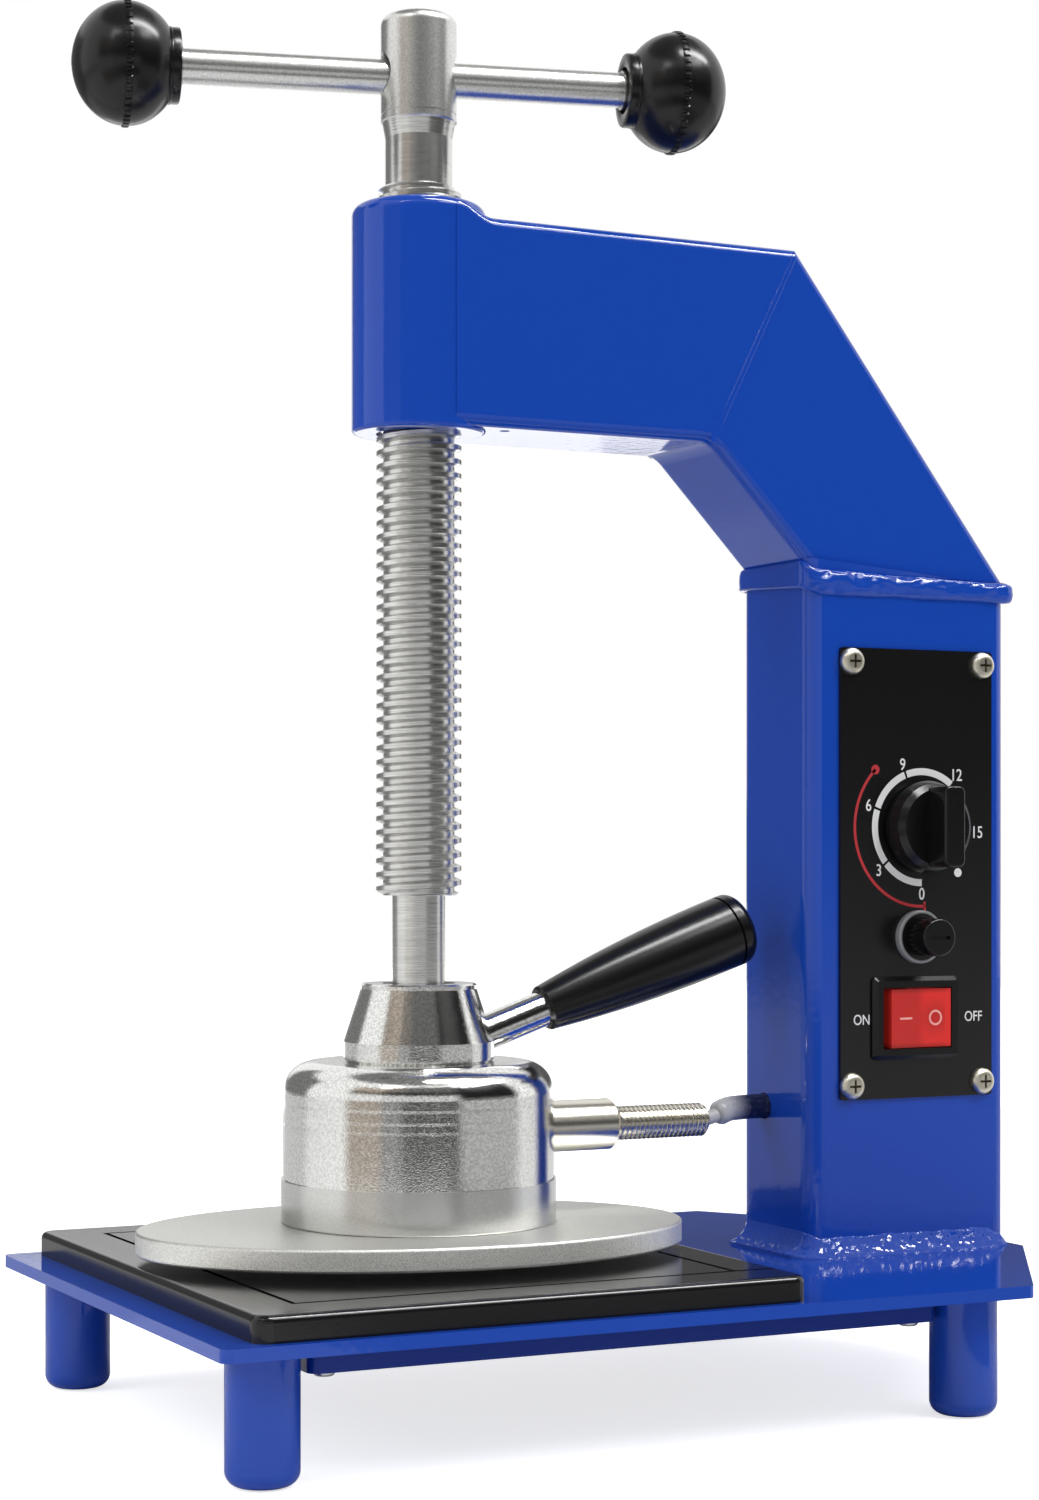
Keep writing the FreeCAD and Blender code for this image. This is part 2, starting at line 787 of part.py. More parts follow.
def half_ellipse_profile():
    """Half of the ball's outline, wider across the bar, with a small flat where the mould was fed."""
    wide, tall = V(ball_radius, 0, 0), V(0, 0, ball_half_length)
    ellipse = Part.Ellipse(wide, tall, V(0, 0, 0))
    turn = math.acos(ball_flat_radius / ball_radius)
    arc = Part.ArcOfEllipse(ellipse, -turn, turn).toShape()
    start, end = [v.Point for v in arc.Vertexes]
    low, high = V(0, 0, start.z), V(0, 0, end.z)
    edges = [Part.makeLine(low, start), arc, Part.makeLine(end, high), Part.makeLine(high, low)]
    return Part.Wire(edges)


def ball_knob(centre_distance, outward):
    """A slightly flattened ball with a collar towards the hub, drilled for the bar."""
    ball = Part.Face(half_ellipse_profile()).revolve(V(0, 0, 0), V(0, 0, 1), 360)
    collar = upright(ball_collar_radius, -ball_collar_reach, 0)
    collar = collar.makeFillet(0.6, edges_at_z(collar, -ball_collar_reach))
    knob = ball.fuse(collar).removeSplitter()
    knob = knob.cut(upright(ball_recess_radius, -ball_collar_reach - 1, -ball_collar_reach + ball_recess_depth))
    knob = knob.cut(upright(bar_radius, -ball_collar_reach - 1, bar_end_past_centre))
    knob.rotate(V(0, 0, 0), V(0, 1, 0), 90 * outward)
    knob.rotate(V(0, 0, 0), V(0, 0, 1), bar_angle)
    knob.translate(bar_point(centre_distance))
    return knob


def bar_rings():
    """A thin ring on the bar in the recess of each collar."""
    made = []
    for centre, outward in ((-ball_left, -1), (ball_right, 1)):
        floor = ball_collar_reach - ball_recess_depth
        inner = bar_point(centre - outward * (floor + bar_ring_length))
        outer = bar_point(centre - outward * floor)
        made.append(rod(bar_ring_radius, inner, outer).cut(rod(bar_radius, inner, outer)))
    return Part.makeCompound(made)


# Heating head

def on_circle(radius, angle):
    a = math.radians(angle)
    return radius * math.cos(a), radius * math.sin(a)


def head_screw_places():
    return [on_circle(head_screw_circle, 45 + 90 * i) for i in range(4)]


def countersunk(head_radius, shank_radius, bottom, top, x, y):
    """A screw with a flat countersunk head whose face is at its bottom."""
    cone = head_radius - shank_radius
    return turned([(0, bottom), (head_radius, bottom), (shank_radius, bottom + cone),
                   (shank_radius, top), (0, top)], x, y)


def head_screw(x, y):
    return countersunk(head_screw_head_radius, head_screw_radius, press_plate_bottom,
                       block_bottom + head_screw_depth, x, y)


def head_screws():
    return Part.makeCompound([head_screw(x, y) for x, y in head_screw_places()])


def press_plate():
    """An oval plate, a little turned and off the screw's axis."""
    oval = Part.Ellipse(V(0, 0, 0), press_plate_length / 2.0, press_plate_width / 2.0).toShape()
    plate = Part.Face(Part.Wire([oval])).extrude(V(0, 0, press_plate_thickness))
    plate.rotate(V(0, 0, 0), V(0, 0, 1), press_plate_turn)
    plate.translate(V(press_plate_shift_x, press_plate_shift_y, press_plate_bottom))
    rims = edges_at_z(plate, block_bottom) + edges_at_z(plate, press_plate_bottom)
    plate = plate.makeFillet(press_plate_round, rims)
    for x, y in head_screw_places():
        plate = plate.cut(head_screw(x, y))
    return plate


def element_ring():
    z = block_top - element_tube_radius - element_groove_gap
    torus = Part.makeTorus(element_radius, element_tube_radius, V(0, 0, z))
    gap = element_terminal_angle
    wedge_points = [(0, 0)]
    for angle in (-gap / 2.0, gap / 2.0):
        wedge_points.append(on_circle(element_radius * 2, angle))
    wedge = flat_prism(wedge_points, z - 10, z + 10)
    element = torus.cut(wedge)
    for side in (-1, 1):
        x, y = on_circle(element_radius, side * (gap / 2.0 + 3.0))
        element = element.fuse(upright(element_terminal_radius, z, z + element_terminal_length, x, y))
    return element.removeSplitter()


def heater_block():
    block = upright(heater_block_radius, block_bottom, block_top)
    block = block.makeFillet(0.6, edges_at_z(block, block_bottom))
    half = element_tube_radius + element_groove_gap
    depth = 2 * half
    block = block.cut(ring(element_radius + half, element_radius - half, block_top - depth, block_top + 1))
    for x, y in head_screw_places():
        block = block.cut(head_screw(x, y))
    return block.cut(post_screw())


def post_screw():
    top = block_bottom + post_screw_length
    return countersunk(post_screw_head_radius, post_screw_radius, block_bottom, top, 0.0, 0.0)


def load_post():
    post = upright(post_radius, block_top, cone_bottom + post_stub)
    return post.cut(post_screw())


def insulation_disc():
    outer = heater_cover_radius - heater_cover_wall - insulation_inset
    disc = ring(outer, post_radius + body_gap, block_top, block_top + insulation_thickness)
    for side in (-1, 1):
        x, y = on_circle(element_radius, side * (element_terminal_angle / 2.0 + 3.0))
        disc = disc.cut(upright(element_terminal_radius + body_gap, block_top - 1, block_top + 9, x, y))
    return disc.cut(upright(thermostat_radius + body_gap, block_top - 1, block_top + 9, -thermostat_offset))


def thermostat():
    body = upright(thermostat_radius, block_top, block_top + thermostat_height, -thermostat_offset)
    for side in (-1, 1):
        y = side * thermostat_radius * 0.5
        top = block_top + thermostat_height
        tab = box(-thermostat_offset - 2.4, -thermostat_offset + 2.4, y - 0.4, y + 0.4, top - 1, top + 7)
        body = body.fuse(tab)
    return body.removeSplitter()


def heater_cover():
    top = cone_bottom
    outer = upright(heater_cover_radius, block_top, top)
    outer = outer.makeFillet(heater_cover_round, edges_at_z(outer, top))
    w = heater_cover_wall
    inner = upright(heater_cover_radius - w, block_top - 1, top - w)
    inner = inner.makeFillet(heater_cover_round - w, edges_at_z(inner, top - w))
    cover = outer.cut(inner).cut(upright(post_radius, top - w - 1, top + 1))
    return cover.cut(rod(coupling_neck_radius, V(0, 0, conduit_z), V(heater_cover_radius + 1, 0, conduit_z)))


def cone_hub():
    z0, z1 = cone_bottom, cone_top
    flange = z0 + cone_flange_height
    rim = z1 - cone_rim_height
    cone = turned([(0, z0), (cone_flange_radius - 0.6, z0), (cone_flange_radius, z0 + 0.6),
                   (cone_flange_radius, flange), (cone_top_radius, rim), (cone_top_radius, z1 - 0.5),
                   (cone_top_radius - 0.5, z1), (0, z1)])
    cone = cone.cut(upright(post_radius, z0 - 1, z0 + post_stub))
    cone = cone.cut(upright(post_radius, z0 + post_stub - 1, z0 + cone_socket_depth))
    cone = cone.cut(upright(pin_radius + running_gap, z0, z1 + 1))
    cone = cone.cut(upright(cone_recess_radius, z1 - cone_recess_depth, z1 + 1))
    return cone.cut(handle_bar_shape())


def thrust_washer():
    z0 = cone_bottom + post_stub
    return ring(collar_radius, washer_bore_radius, z0, z0 + washer_thickness)


# Handle

def handle_point(distance):
    a = math.radians(handle_rise_angle)
    return V(distance * math.cos(a), 0, cone_bottom + distance * math.sin(a))


def handle_bar_shape():
    return rod(handle_rod_radius, handle_point(handle_rod_start), handle_point(grip_start + grip_bore_depth))


def handle_rod():
    return handle_bar_shape()


def handle_grip():
    """A turned grip that widens to its far end, with a groove near it."""
    length = grip_length
    outline = [V(0, 0, 0), V(grip_small_radius - 0.8, 0, 0), V(grip_small_radius, 0, 0.8)]
    belly = V(grip_belly_radius, 0, length * 0.5)
    shoulder = V(grip_big_radius, 0, length - grip_end_round)
    profile = [Part.makeLine(outline[0], outline[1]), Part.makeLine(outline[1], outline[2]),
               Part.Arc(outline[2], belly, shoulder).toShape()]
    r = grip_end_round
    bend = r * math.sin(math.radians(45))
    mid = V(grip_big_radius - r + bend, 0, length - r + bend)
    crown = V(grip_big_radius - r, 0, length)
    end = V(0, 0, length)
    profile.append(Part.Arc(shoulder, mid, crown).toShape())
    profile.append(Part.makeLine(crown, end))
    profile.append(Part.makeLine(end, outline[0]))
    grip = Part.Face(Part.Wire(profile)).revolve(V(0, 0, 0), V(0, 0, 1), 360)
    groove_z = length - grip_end_round - 2.6
    grip = grip.cut(ring(grip_big_radius + 2, grip_big_radius - 0.7, groove_z, groove_z + 0.8))
    grip.rotate(V(0, 0, 0), V(0, 1, 0), 90 - handle_rise_angle)
    grip.translate(handle_point(grip_start))
    return grip.cut(handle_bar_shape())


# Conduit and lead

def lying(shape, x):
    """Turn a shape drawn about +Z onto the conduit's axis, its z = 0 at x."""
    laid = shape.copy()
    laid.rotate(V(0, 0, 0), V(0, 1, 0), 90)
    laid.translate(V(x, 0, conduit_z))
    return laid


def conduit_coupling():
    end = heater_cover_radius + coupling_length
    start = heater_cover_radius - 4.0
    c = coupling_chamfer
    length = end - start
    body = turned([(0, 0), (coupling_radius, 0), (coupling_radius, length - c),
                   (coupling_radius - c, length), (0, length)])
    body = lying(body, start).cut(upright(heater_cover_radius, block_bottom, cone_bottom))
    neck = rod(coupling_neck_radius, V(start, 0, conduit_z), V(heater_cover_radius + 1, 0, conduit_z))
    body = body.fuse(neck).removeSplitter()
    body = body.cut(rod(conduit_bore_radius, V(start - 1, 0, conduit_z), V(end + 1, 0, conduit_z)))
    return body.cut(rod(nipple_radius, V(end - coupling_engagement, 0, conduit_z), V(end + 1, 0, conduit_z)))


def nipple_end():
    return heater_cover_radius + coupling_length + nipple_length


def conduit_nipple():
    start = heater_cover_radius + coupling_length - coupling_engagement
    length = nipple_end() - start
    plain = coupling_engagement + nipple_relief
    thread = helical_thread(nipple_radius, nipple_thread_depth, nipple_pitch, nipple_crest, nipple_root,
                            plain, length)
    thread = thread.common(pointed_ends(nipple_radius, 0.0, nipple_chamfer, plain, length))
    nipple = thread.fuse(upright(nipple_radius, 0, plain)).removeSplitter()
    nipple = nipple.cut(upright(conduit_bore_radius, -1, length + 1))
    return lying(nipple, start)


def lead_route():
    """Corners of the lead's middle line, from inside the conduit to the terminal block."""
    start = nipple_end() - 12.0
    y = lead_side_offset
    return [V(start, 0, conduit_z), V(nipple_end() - 1.5, 0, conduit_z),
            V(sleeve_start + 3.5, y * 0.25, lead_z), V(column_front - 6.0, y, lead_z),
            V(column_front + block_x - 0.01, y, lead_z)]


def rounded_path(points):
    """Straight runs joined by arcs as large as the runs beside them allow."""
    edges = []
    here = points[0]
    for before, corner, after in zip(points, points[1:], points[2:]):
        back, ahead = before - corner, after - corner
        run = min(back.Length, ahead.Length)
        turn = math.pi - back.getAngle(ahead)
        setback = 0.45 * run
        radius = setback / math.tan(turn / 2.0)
        print("lead bend radius %.1f mm" % radius)
        back.normalize()
        ahead.normalize()
        enter, leave = corner + back * setback, corner + ahead * setback
        middle_way = (back + ahead).normalize()
        centre_distance = radius / math.cos(turn / 2.0)
        middle = corner + middle_way * (centre_distance - radius)
        edges.append(Part.makeLine(here, enter))
        edges.append(Part.Arc(enter, middle, leave).toShape())
        here = leave
    edges.append(Part.makeLine(here, points[-1]))
    return Part.Wire(edges)


def swept(path, radius):
    first = path.Edges[0]
    start = first.valueAt(first.FirstParameter)
    direction = first.tangentAt(first.FirstParameter)
    section = Part.Wire(Part.makeCircle(radius, start, direction))
    return path.makePipeShell([section], True, False)


def heater_lead():
    return swept(rounded_path(lead_route()), lead_radius)


def lead_sleeve():
    points = lead_route()
    path = rounded_path(points)
    sleeve = swept(path, sleeve_radius)
    end = column_front + column_wall + 1.5
    kept = box(sleeve_start, end, -20, 20, lead_z - 20, lead_z + 20)
    return sleeve.common(kept).cut(swept(path, lead_radius))


# Panel

def panel_plate():
    x1 = panel_x0 + panel_width
    z1 = panel_z0 + panel_height
    plate = box(panel_x0, x1, panel_face, panel_back, panel_z0, z1)
    plate = plate.makeFillet(panel_corner, [e for e in plate.Edges if along(e, V(0, 1, 0))])
    for x, z in panel_screw_places():
        plate = plate.cut(rod(panel_screw_radius, V(x, panel_face - 1, z), V(x, panel_back + 1, z)))
    x, z = timer_place()
    plate = plate.cut(rod(timer_bush_radius, V(x, panel_face - 1, z), V(x, panel_back + 1, z)))
    x, z = fuse_place()
    plate = plate.cut(rod(fuse_barrel_radius, V(x, panel_face - 1, z), V(x, panel_back + 1, z)))
    x, z = switch_place()
    w = well_width / 2.0 + housing_wall
    h = well_height / 2.0 + housing_wall
    return plate.cut(box(x - w, x + w, panel_face - 1, panel_back + 1, z - h, z + h))


def panel_screws():
    made = []
    for x, z in panel_screw_places():
        head = upright(panel_screw_head_radius, 0, panel_screw_head)
        head = head.makeFillet(panel_screw_head * 0.8, edges_at_z(head, panel_screw_head))
        shank = upright(panel_screw_radius, -panel_screw_length, panel_screw_head / 2.0)
        screw = head.fuse(shank).removeSplitter()
        slot = box(-2.0, 2.0, -0.35, 0.35, panel_screw_head - 1.2, panel_screw_head + 1)
        cross = box(-0.35, 0.35, -2.0, 2.0, panel_screw_head - 1.2, panel_screw_head + 1)
        screw = screw.cut(slot).cut(cross)
        made.append(facing_panel(screw, x, z))
    return Part.makeCompound(made)


def timer_place():
    return column_front + timer_x, panel_z0 + timer_z


def fuse_place():
    return column_front + fuse_x, panel_z0 + fuse_z


def switch_place():
    return column_front + switch_x, panel_z0 + switch_z


def timer_body():
    x, z = timer_place()
    w, h = timer_width / 2.0, timer_height / 2.0
    body = box(-w, w, -h, h, -panel_thickness - timer_depth, -panel_thickness)
    body = body.makeFillet(2.0, upright_edges(body))
    bush = upright(timer_bush_radius, -panel_thickness - 1, timer_bush_length)
    body = body.fuse(bush).removeSplitter()
    depth = timer_shaft_sink + running_gap
    body = body.cut(upright(timer_shaft_radius + running_gap, -depth, timer_bush_length + 1))
    return facing_panel(body, x, z)


def timer_nut():
    x, z = timer_place()
    nut = hexagon(timer_nut_across, 0, timer_nut_thickness).cut(upright(timer_bush_radius, -1, 9))
    return facing_panel(nut, x, z)


def timer_shaft():
    x, z = timer_place()
    shaft = upright(timer_shaft_radius, -timer_shaft_sink, knob_height - knob_bore_end)
    return facing_panel(shaft, x, z)


def timer_knob():
    """A round skirt with a bar across it; the bar points down at zero."""
    x, z = timer_place()
    base = knob_standoff
    shoulder = base + knob_skirt_height
    skirt = turned([(0, base), (knob_radius - 0.6, base), (knob_radius, base + 3.0),
                    (knob_radius - 0.9, shoulder - 1.6), (knob_radius - 2.6, shoulder), (0, shoulder)])
    half_width = knob_grip_width / 2.0
    reach = knob_grip_length / 2.0
    bar = box(-half_width, half_width, -reach, reach, base + 1.0, knob_height)
    bar = bar.makeFillet(knob_grip_width * 0.3, upright_edges(bar))
    bar = bar.makeFillet(0.8, edges_at_z(bar, knob_height))
    knob = skirt.fuse(bar.common(upright(knob_radius - 0.9, 0, knob_height + 1))).removeSplitter()
    knob = knob.cut(upright(knob_recess_radius, base - 1, base + knob_recess_depth))
    knob = knob.cut(upright(timer_shaft_radius, base - 1, knob_height - knob_bore_end))
    return facing_panel(knob, x, z)


def fuse_holder():
    x, z = fuse_place()
    flange = upright(fuse_flange_radius, 0, fuse_flange_thickness)
    flange = flange.makeFillet(0.6, edges_at_z(flange, fuse_flange_thickness))
    barrel = upright(fuse_barrel_radius, -panel_thickness - fuse_barrel_length, 0.5)
    holder = flange.fuse(barrel).removeSplitter()
    floor = -panel_thickness - fuse_barrel_length + 2.0
    holder = holder.cut(upright(fuse_bore_radius, floor, fuse_flange_thickness + 1))
    contact = box(-1.6, 1.6, -0.4, 0.4, floor - 2.0 - 6.0, floor - 1.0)
    return facing_panel(holder.fuse(contact).removeSplitter(), x, z)


def fuse_nut():
    x, z = fuse_place()
    back = -panel_thickness
    nut = hexagon(fuse_nut_across, back - fuse_nut_thickness, back)
    return facing_panel(nut.cut(upright(fuse_barrel_radius, back - 9, back + 1)), x, z)


def fuse_cap():
    x, z = fuse_place()
    base = fuse_flange_thickness + 0.2
    top = base + fuse_cap_height
    cap = upright(fuse_cap_radius, base, top)
    cap = cap.makeFillet(0.8, edges_at_z(cap, top))
    stem = upright(fuse_bore_radius - running_gap, base - fuse_cap_stem, base + 1)
    cap = cap.fuse(stem).removeSplitter()
    slot = box(-fuse_cap_radius * 0.6, fuse_cap_radius * 0.6, -0.5, 0.5, top - 0.8, top + 1)
    cap = cap.cut(slot)
    for i in range(fuse_cap_grooves):
        gx, gy = on_circle(fuse_cap_radius, 360.0 * i / fuse_cap_grooves)
        cap = cap.cut(upright(fuse_cap_groove_radius, base + 1.0, top - 1.6, gx, gy))
    return facing_panel(cap, x, z)


def fuse_cartridge():
    x, z = fuse_place()
    top = fuse_flange_thickness + 0.2 - fuse_cap_stem - running_gap
    return facing_panel(upright(cartridge_radius, top - cartridge_length, top), x, z)


def switch_housing():
    x, z = switch_place()
    bezel = box(-bezel_width / 2.0, bezel_width / 2.0, -bezel_height / 2.0, bezel_height / 2.0,
                0, bezel_thickness)
    bezel = bezel.makeFillet(bezel_corner, upright_edges(bezel))
    front_edges = edges_at_z(bezel, bezel_thickness)
    bezel = bezel.makeChamfer(bezel_slope, front_edges)
    w, h = well_width / 2.0 + housing_wall, well_height / 2.0 + housing_wall
    body = box(-w, w, -h, h, -housing_depth, 0.5)
    housing = bezel.fuse(body).removeSplitter()
    floor = -housing_depth + housing_wall
    housing = housing.cut(box(-well_width / 2.0, well_width / 2.0, -well_height / 2.0, well_height / 2.0,
                              floor, bezel_thickness + 1))
    pivot = V(0, 0, rocker_pivot_z())
    reach = V(0, rocker_height / 2.0 + rocker_pin_length + running_gap, 0)
    housing = housing.cut(rod(rocker_pin_radius + running_gap, pivot - reach, pivot + reach))
    return facing_panel(housing, x, z)


def rocker_pivot_z():
    """Height of the rocker's pivot above the panel's face, below zero when behind it."""
    return bezel_thickness + rocker_proud - rocker_pivot_depth


def rocker():
    """Drawn in its middle position, then pressed in on its right half."""
    x, z = switch_place()
    half = rocker_length / 2.0
    middle = bezel_thickness + rocker_proud
    lift = half * math.tan(math.radians(rocker_angle))
    bottom = middle - rocker_depth
    points = [(-half, middle + lift), (0, middle), (half, middle + lift), (half * 0.7, bottom), (-half * 0.7, bottom)]
    corners = [V(px, -rocker_height / 2.0, pz) for px, pz in points]
    face = Part.Face(Part.makePolygon(corners + [corners[0]]))
    body = face.extrude(V(0, rocker_height, 0))
    pivot = V(0, 0, rocker_pivot_z())
    reach = V(0, rocker_height / 2.0 + rocker_pin_length, 0)
    body = body.fuse(rod(rocker_pin_radius, pivot - reach, pivot + reach)).removeSplitter()
    body.rotate(pivot, V(0, 1, 0), rocker_angle)
    return facing_panel(body, x, z)


def switch_terminals():
    x, z = switch_place()
    made = []
    for bx in (-blade_spacing / 2.0, blade_spacing / 2.0):
        for by in (-blade_width, blade_width):
            blade = box(bx - blade_thickness / 2.0, bx + blade_thickness / 2.0,
                        by - blade_width / 2.0, by + blade_width / 2.0,
                        -housing_depth - blade_length, -housing_depth)
            made.append(facing_panel(blade, x, z))
    return Part.makeCompound(made)


# Electrical parts in the column

def block_screw_place():
    return column_front + block_x + block_length / 2.0, column_side - column_wall, lead_z


def terminal_block():
    x0 = column_front + block_x
    y1 = column_side - column_wall
    z0 = lead_z - block_height / 2.0
    block = box(x0, x0 + block_length, y1 - block_depth, y1, z0, z0 + block_height)
    x, y, z = block_screw_place()
    return block.cut(rod(block_screw_radius, V(x, y1 - block_depth - 1, z), V(x, y1 + 1, z)))


def terminal_block_screw():
    x, y, z = block_screw_place()
    y0 = y - block_depth
    head = rod(2.8, V(x, y0 - 1.8, z), V(x, y0, z))
    shank = rod(block_screw_radius, V(x, y0 - 0.5, z), V(x, column_side - 0.6, z))
    return head.fuse(shank).removeSplitter()


def mains_gland():
    """Cable gland in the back of the column; the power cord itself is not shown."""
    z = plate_top + gland_height
    hexa = hexagon(gland_hex_across, 0, gland_hex_length)
    dome_end = gland_hex_length + gland_dome_length
    dome = turned([(0, gland_hex_length - 1), (gland_dome_radius, gland_hex_length - 1),
                   (gland_dome_radius, dome_end - 2.0), (gland_dome_radius - 2.0, dome_end), (0, dome_end)])
    stem = upright(gland_stem_radius, -column_wall - gland_nut_thickness - 3.0, 1)
    gland = hexa.fuse([dome, stem]).removeSplitter()
    gland = gland.cut(upright(gland_bore_radius, -column_wall - gland_nut_thickness - 9.0, dome_end + 1))
    gland.rotate(V(0, 0, 0), V(0, 1, 0), 90)
    gland.translate(V(column_back, 0, z))
    return gland


def gland_nut():
    z = plate_top + gland_height
    nut = hexagon(gland_hex_across, -gland_nut_thickness, 0).cut(upright(gland_stem_radius, -9, 9))
    nut.rotate(V(0, 0, 0), V(0, 1, 0), 90)
    nut.translate(V(column_back - column_wall, 0, z))
    return nut


def build():
    os.makedirs("parts", exist_ok=True)
    save("base_plate", base_plate())
    save("legs", legs())
    save("bottom_cover", bottom_cover())
    save("bottom_cover_screws", bottom_cover_screws())
    save("platform", platform())
    save("platform_screws", platform_screws())
    save("column_tube", column_tube())
    save("foot_weld", foot_weld())
    save("knee_tube", knee_tube())
    save("knee_weld", knee_weld())
    save("arm_tube", arm_tube())
    save("arm_boss", arm_boss())
    save("screw_nut", screw_nut())
    save("screw_spindle", screw_spindle())
    save("screw_hub", screw_hub())
    save("tommy_bar", tommy_bar())
    save("left_ball_knob", ball_knob(-ball_left, -1))
    save("right_ball_knob", ball_knob(ball_right, 1))
    save("bar_rings", bar_rings())
    save("press_plate", press_plate())
    save("head_screws", head_screws())
    save("heater_block", heater_block())
    save("heater_element", element_ring())
    save("insulation_disc", insulation_disc())
    save("thermostat", thermostat())
    save("load_post", load_post())
    save("post_screw", post_screw())
    save("heater_cover", heater_cover())
    save("cone_hub", cone_hub())
    save("thrust_washer", thrust_washer())
    save("handle_rod", handle_rod())
    save("handle_grip", handle_grip())
    save("conduit_coupling", conduit_coupling())
    save("conduit_nipple", conduit_nipple())
    save("heater_lead", heater_lead())
    save("lead_sleeve", lead_sleeve())
    save("panel_plate", panel_plate())
    save("panel_screws", panel_screws())
    save("timer_body", timer_body())
    save("timer_nut", timer_nut())
    save("timer_shaft", timer_shaft())
    save("timer_knob", timer_knob())
    save("fuse_holder", fuse_holder())
    save("fuse_nut", fuse_nut())
    save("fuse_cap", fuse_cap())
    save("fuse_cartridge", fuse_cartridge())
    save("switch_housing", switch_housing())
    save("switch_terminals", switch_terminals())
    save("rocker", rocker())
    save("terminal_block", terminal_block())
    save("terminal_block_screw", terminal_block_screw())
    save("mains_gland", mains_gland())
    save("gland_nut", gland_nut())


build()
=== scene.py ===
"""Looks of the tire vulcanizing machine, laid out as an add-on.

One operator makes each piece or group of like pieces, and one makes the stage. Sizes and places are in the
part's frame, in millimetres."""

import json
import math

import bmesh
import bpy
from bpy.props import FloatProperty, FloatVectorProperty, PointerProperty
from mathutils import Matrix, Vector, noise


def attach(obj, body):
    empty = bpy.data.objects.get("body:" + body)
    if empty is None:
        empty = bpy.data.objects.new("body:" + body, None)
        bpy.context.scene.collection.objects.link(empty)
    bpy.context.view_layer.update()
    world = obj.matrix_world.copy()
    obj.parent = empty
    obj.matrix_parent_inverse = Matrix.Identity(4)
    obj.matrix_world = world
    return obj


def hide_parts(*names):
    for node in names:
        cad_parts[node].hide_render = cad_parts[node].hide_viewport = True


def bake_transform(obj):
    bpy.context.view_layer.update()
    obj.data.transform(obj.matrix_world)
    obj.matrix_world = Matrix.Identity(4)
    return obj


bl_info = {
    "name": "Tire vulcanizer looks",
    "version": (1, 0, 0),
    "blender": (4, 5, 0),
    "location": "3D View > Sidebar > Vulcanizer",
    "description": "Dresses the packed vulcanizing machine with its visible surfaces and materials",
    "category": "Object",
}

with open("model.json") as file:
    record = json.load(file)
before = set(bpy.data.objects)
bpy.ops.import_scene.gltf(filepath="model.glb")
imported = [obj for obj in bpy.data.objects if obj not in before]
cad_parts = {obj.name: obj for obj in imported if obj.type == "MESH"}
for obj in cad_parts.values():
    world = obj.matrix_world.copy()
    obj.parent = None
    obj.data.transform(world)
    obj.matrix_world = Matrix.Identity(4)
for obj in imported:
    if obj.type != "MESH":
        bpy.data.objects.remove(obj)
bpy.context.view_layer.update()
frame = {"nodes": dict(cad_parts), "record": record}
NODES = frame["nodes"]

MM = 0.001  # metres in a millimetre

# Places on the machine
AXIS_X = -49.0  # the screw's axis
COLUMN = (69.5, 141.1, -20.5, 20.5)  # the column's sides, x from and to, y from and to
PANEL_Y = -21.5  # the panel's face
PANEL_MIDDLE = (106.95, 152.45)  # x and z, as for the next three
DIAL = (108.6, 166.5)
FUSE = (107.2, 133.3)
SWITCH = (105.9, 108.8)


# Settings

class VULC_paint_settings(bpy.types.PropertyGroup):
    blue: FloatVectorProperty(name="Blue paint", description="Colour of the enamelled frame",
                              subtype="COLOR", size=3, min=0.0, max=1.0, default=(0.0095, 0.064, 0.445))
    black: FloatVectorProperty(name="Platform black", description="Colour of the work platform",
                               subtype="COLOR", size=3, min=0.0, max=1.0, default=(0.006, 0.006, 0.007))
    red: FloatVectorProperty(name="Rocker red", description="Colour of the lit rocker", subtype="COLOR",
                             size=3, min=0.0, max=1.0, default=(0.47, 0.017, 0.015))


class VULC_size_settings(bpy.types.PropertyGroup):
    weld_ripple: FloatProperty(name="Weld ripple", description="Height of the weld beads' ripples",
                               unit="LENGTH", default=0.0004)
    number_height: FloatProperty(name="Number height", description="Height of the dial's numbers",
                                 unit="LENGTH", default=0.0036)
    word_height: FloatProperty(name="Word height", description="Height of the switch's ON and OFF",
                               unit="LENGTH", default=0.0031)


# Node helpers

def fill(tree, node, inputs):
    """Sets a node's inputs: a socket is linked, and anything else becomes the value."""
    for key, value in inputs.items():
        if isinstance(value, bpy.types.NodeSocket):
            tree.links.new(value, node.inputs[key])
        else:
            node.inputs[key].default_value = value
    return node


def add(tree, kind, inputs=None, **settings):
    """A new node with its settings and inputs."""
    node = tree.nodes.new(kind)
    for key, value in settings.items():
        setattr(node, key, value)
    return fill(tree, node, inputs or {})


def new_material(name):
    """A material with an empty Principled shader, as the material, its tree and the shader."""
    mat = bpy.data.materials.new(name)
    mat.use_nodes = True
    tree = mat.node_tree
    tree.nodes.clear()
    shader = add(tree, "ShaderNodeBsdfPrincipled")
    add(tree, "ShaderNodeOutputMaterial", {"Surface": shader.outputs[0]})
    return mat, tree, shader


def maths(tree, operation, a, b=None):
    """One step of arithmetic on numbers or sockets."""
    inputs = {0: a} if b is None else {0: a, 1: b}
    return add(tree, "ShaderNodeMath", inputs, operation=operation).outputs[0]


def spread(tree, value, low, high, to_low=0.0, to_high=1.0):
    """The value carried from one range to another and kept inside it."""
    return add(tree, "ShaderNodeMapRange", {0: value, 1: low, 2: high, 3: to_low, 4: to_high}).outputs[0]


def rgba(r, g, b):
    return (r, g, b, 1.0)


def mixed(tree, factor, a, b):
    """A colour between a and b, each a socket or three or four numbers."""
    a, b = (rgba(*shade) if isinstance(shade, tuple) and len(shade) == 3 else shade for shade in (a, b))
    return add(tree, "ShaderNodeMix", {0: factor, 6: a, 7: b}, data_type="RGBA").outputs[2]


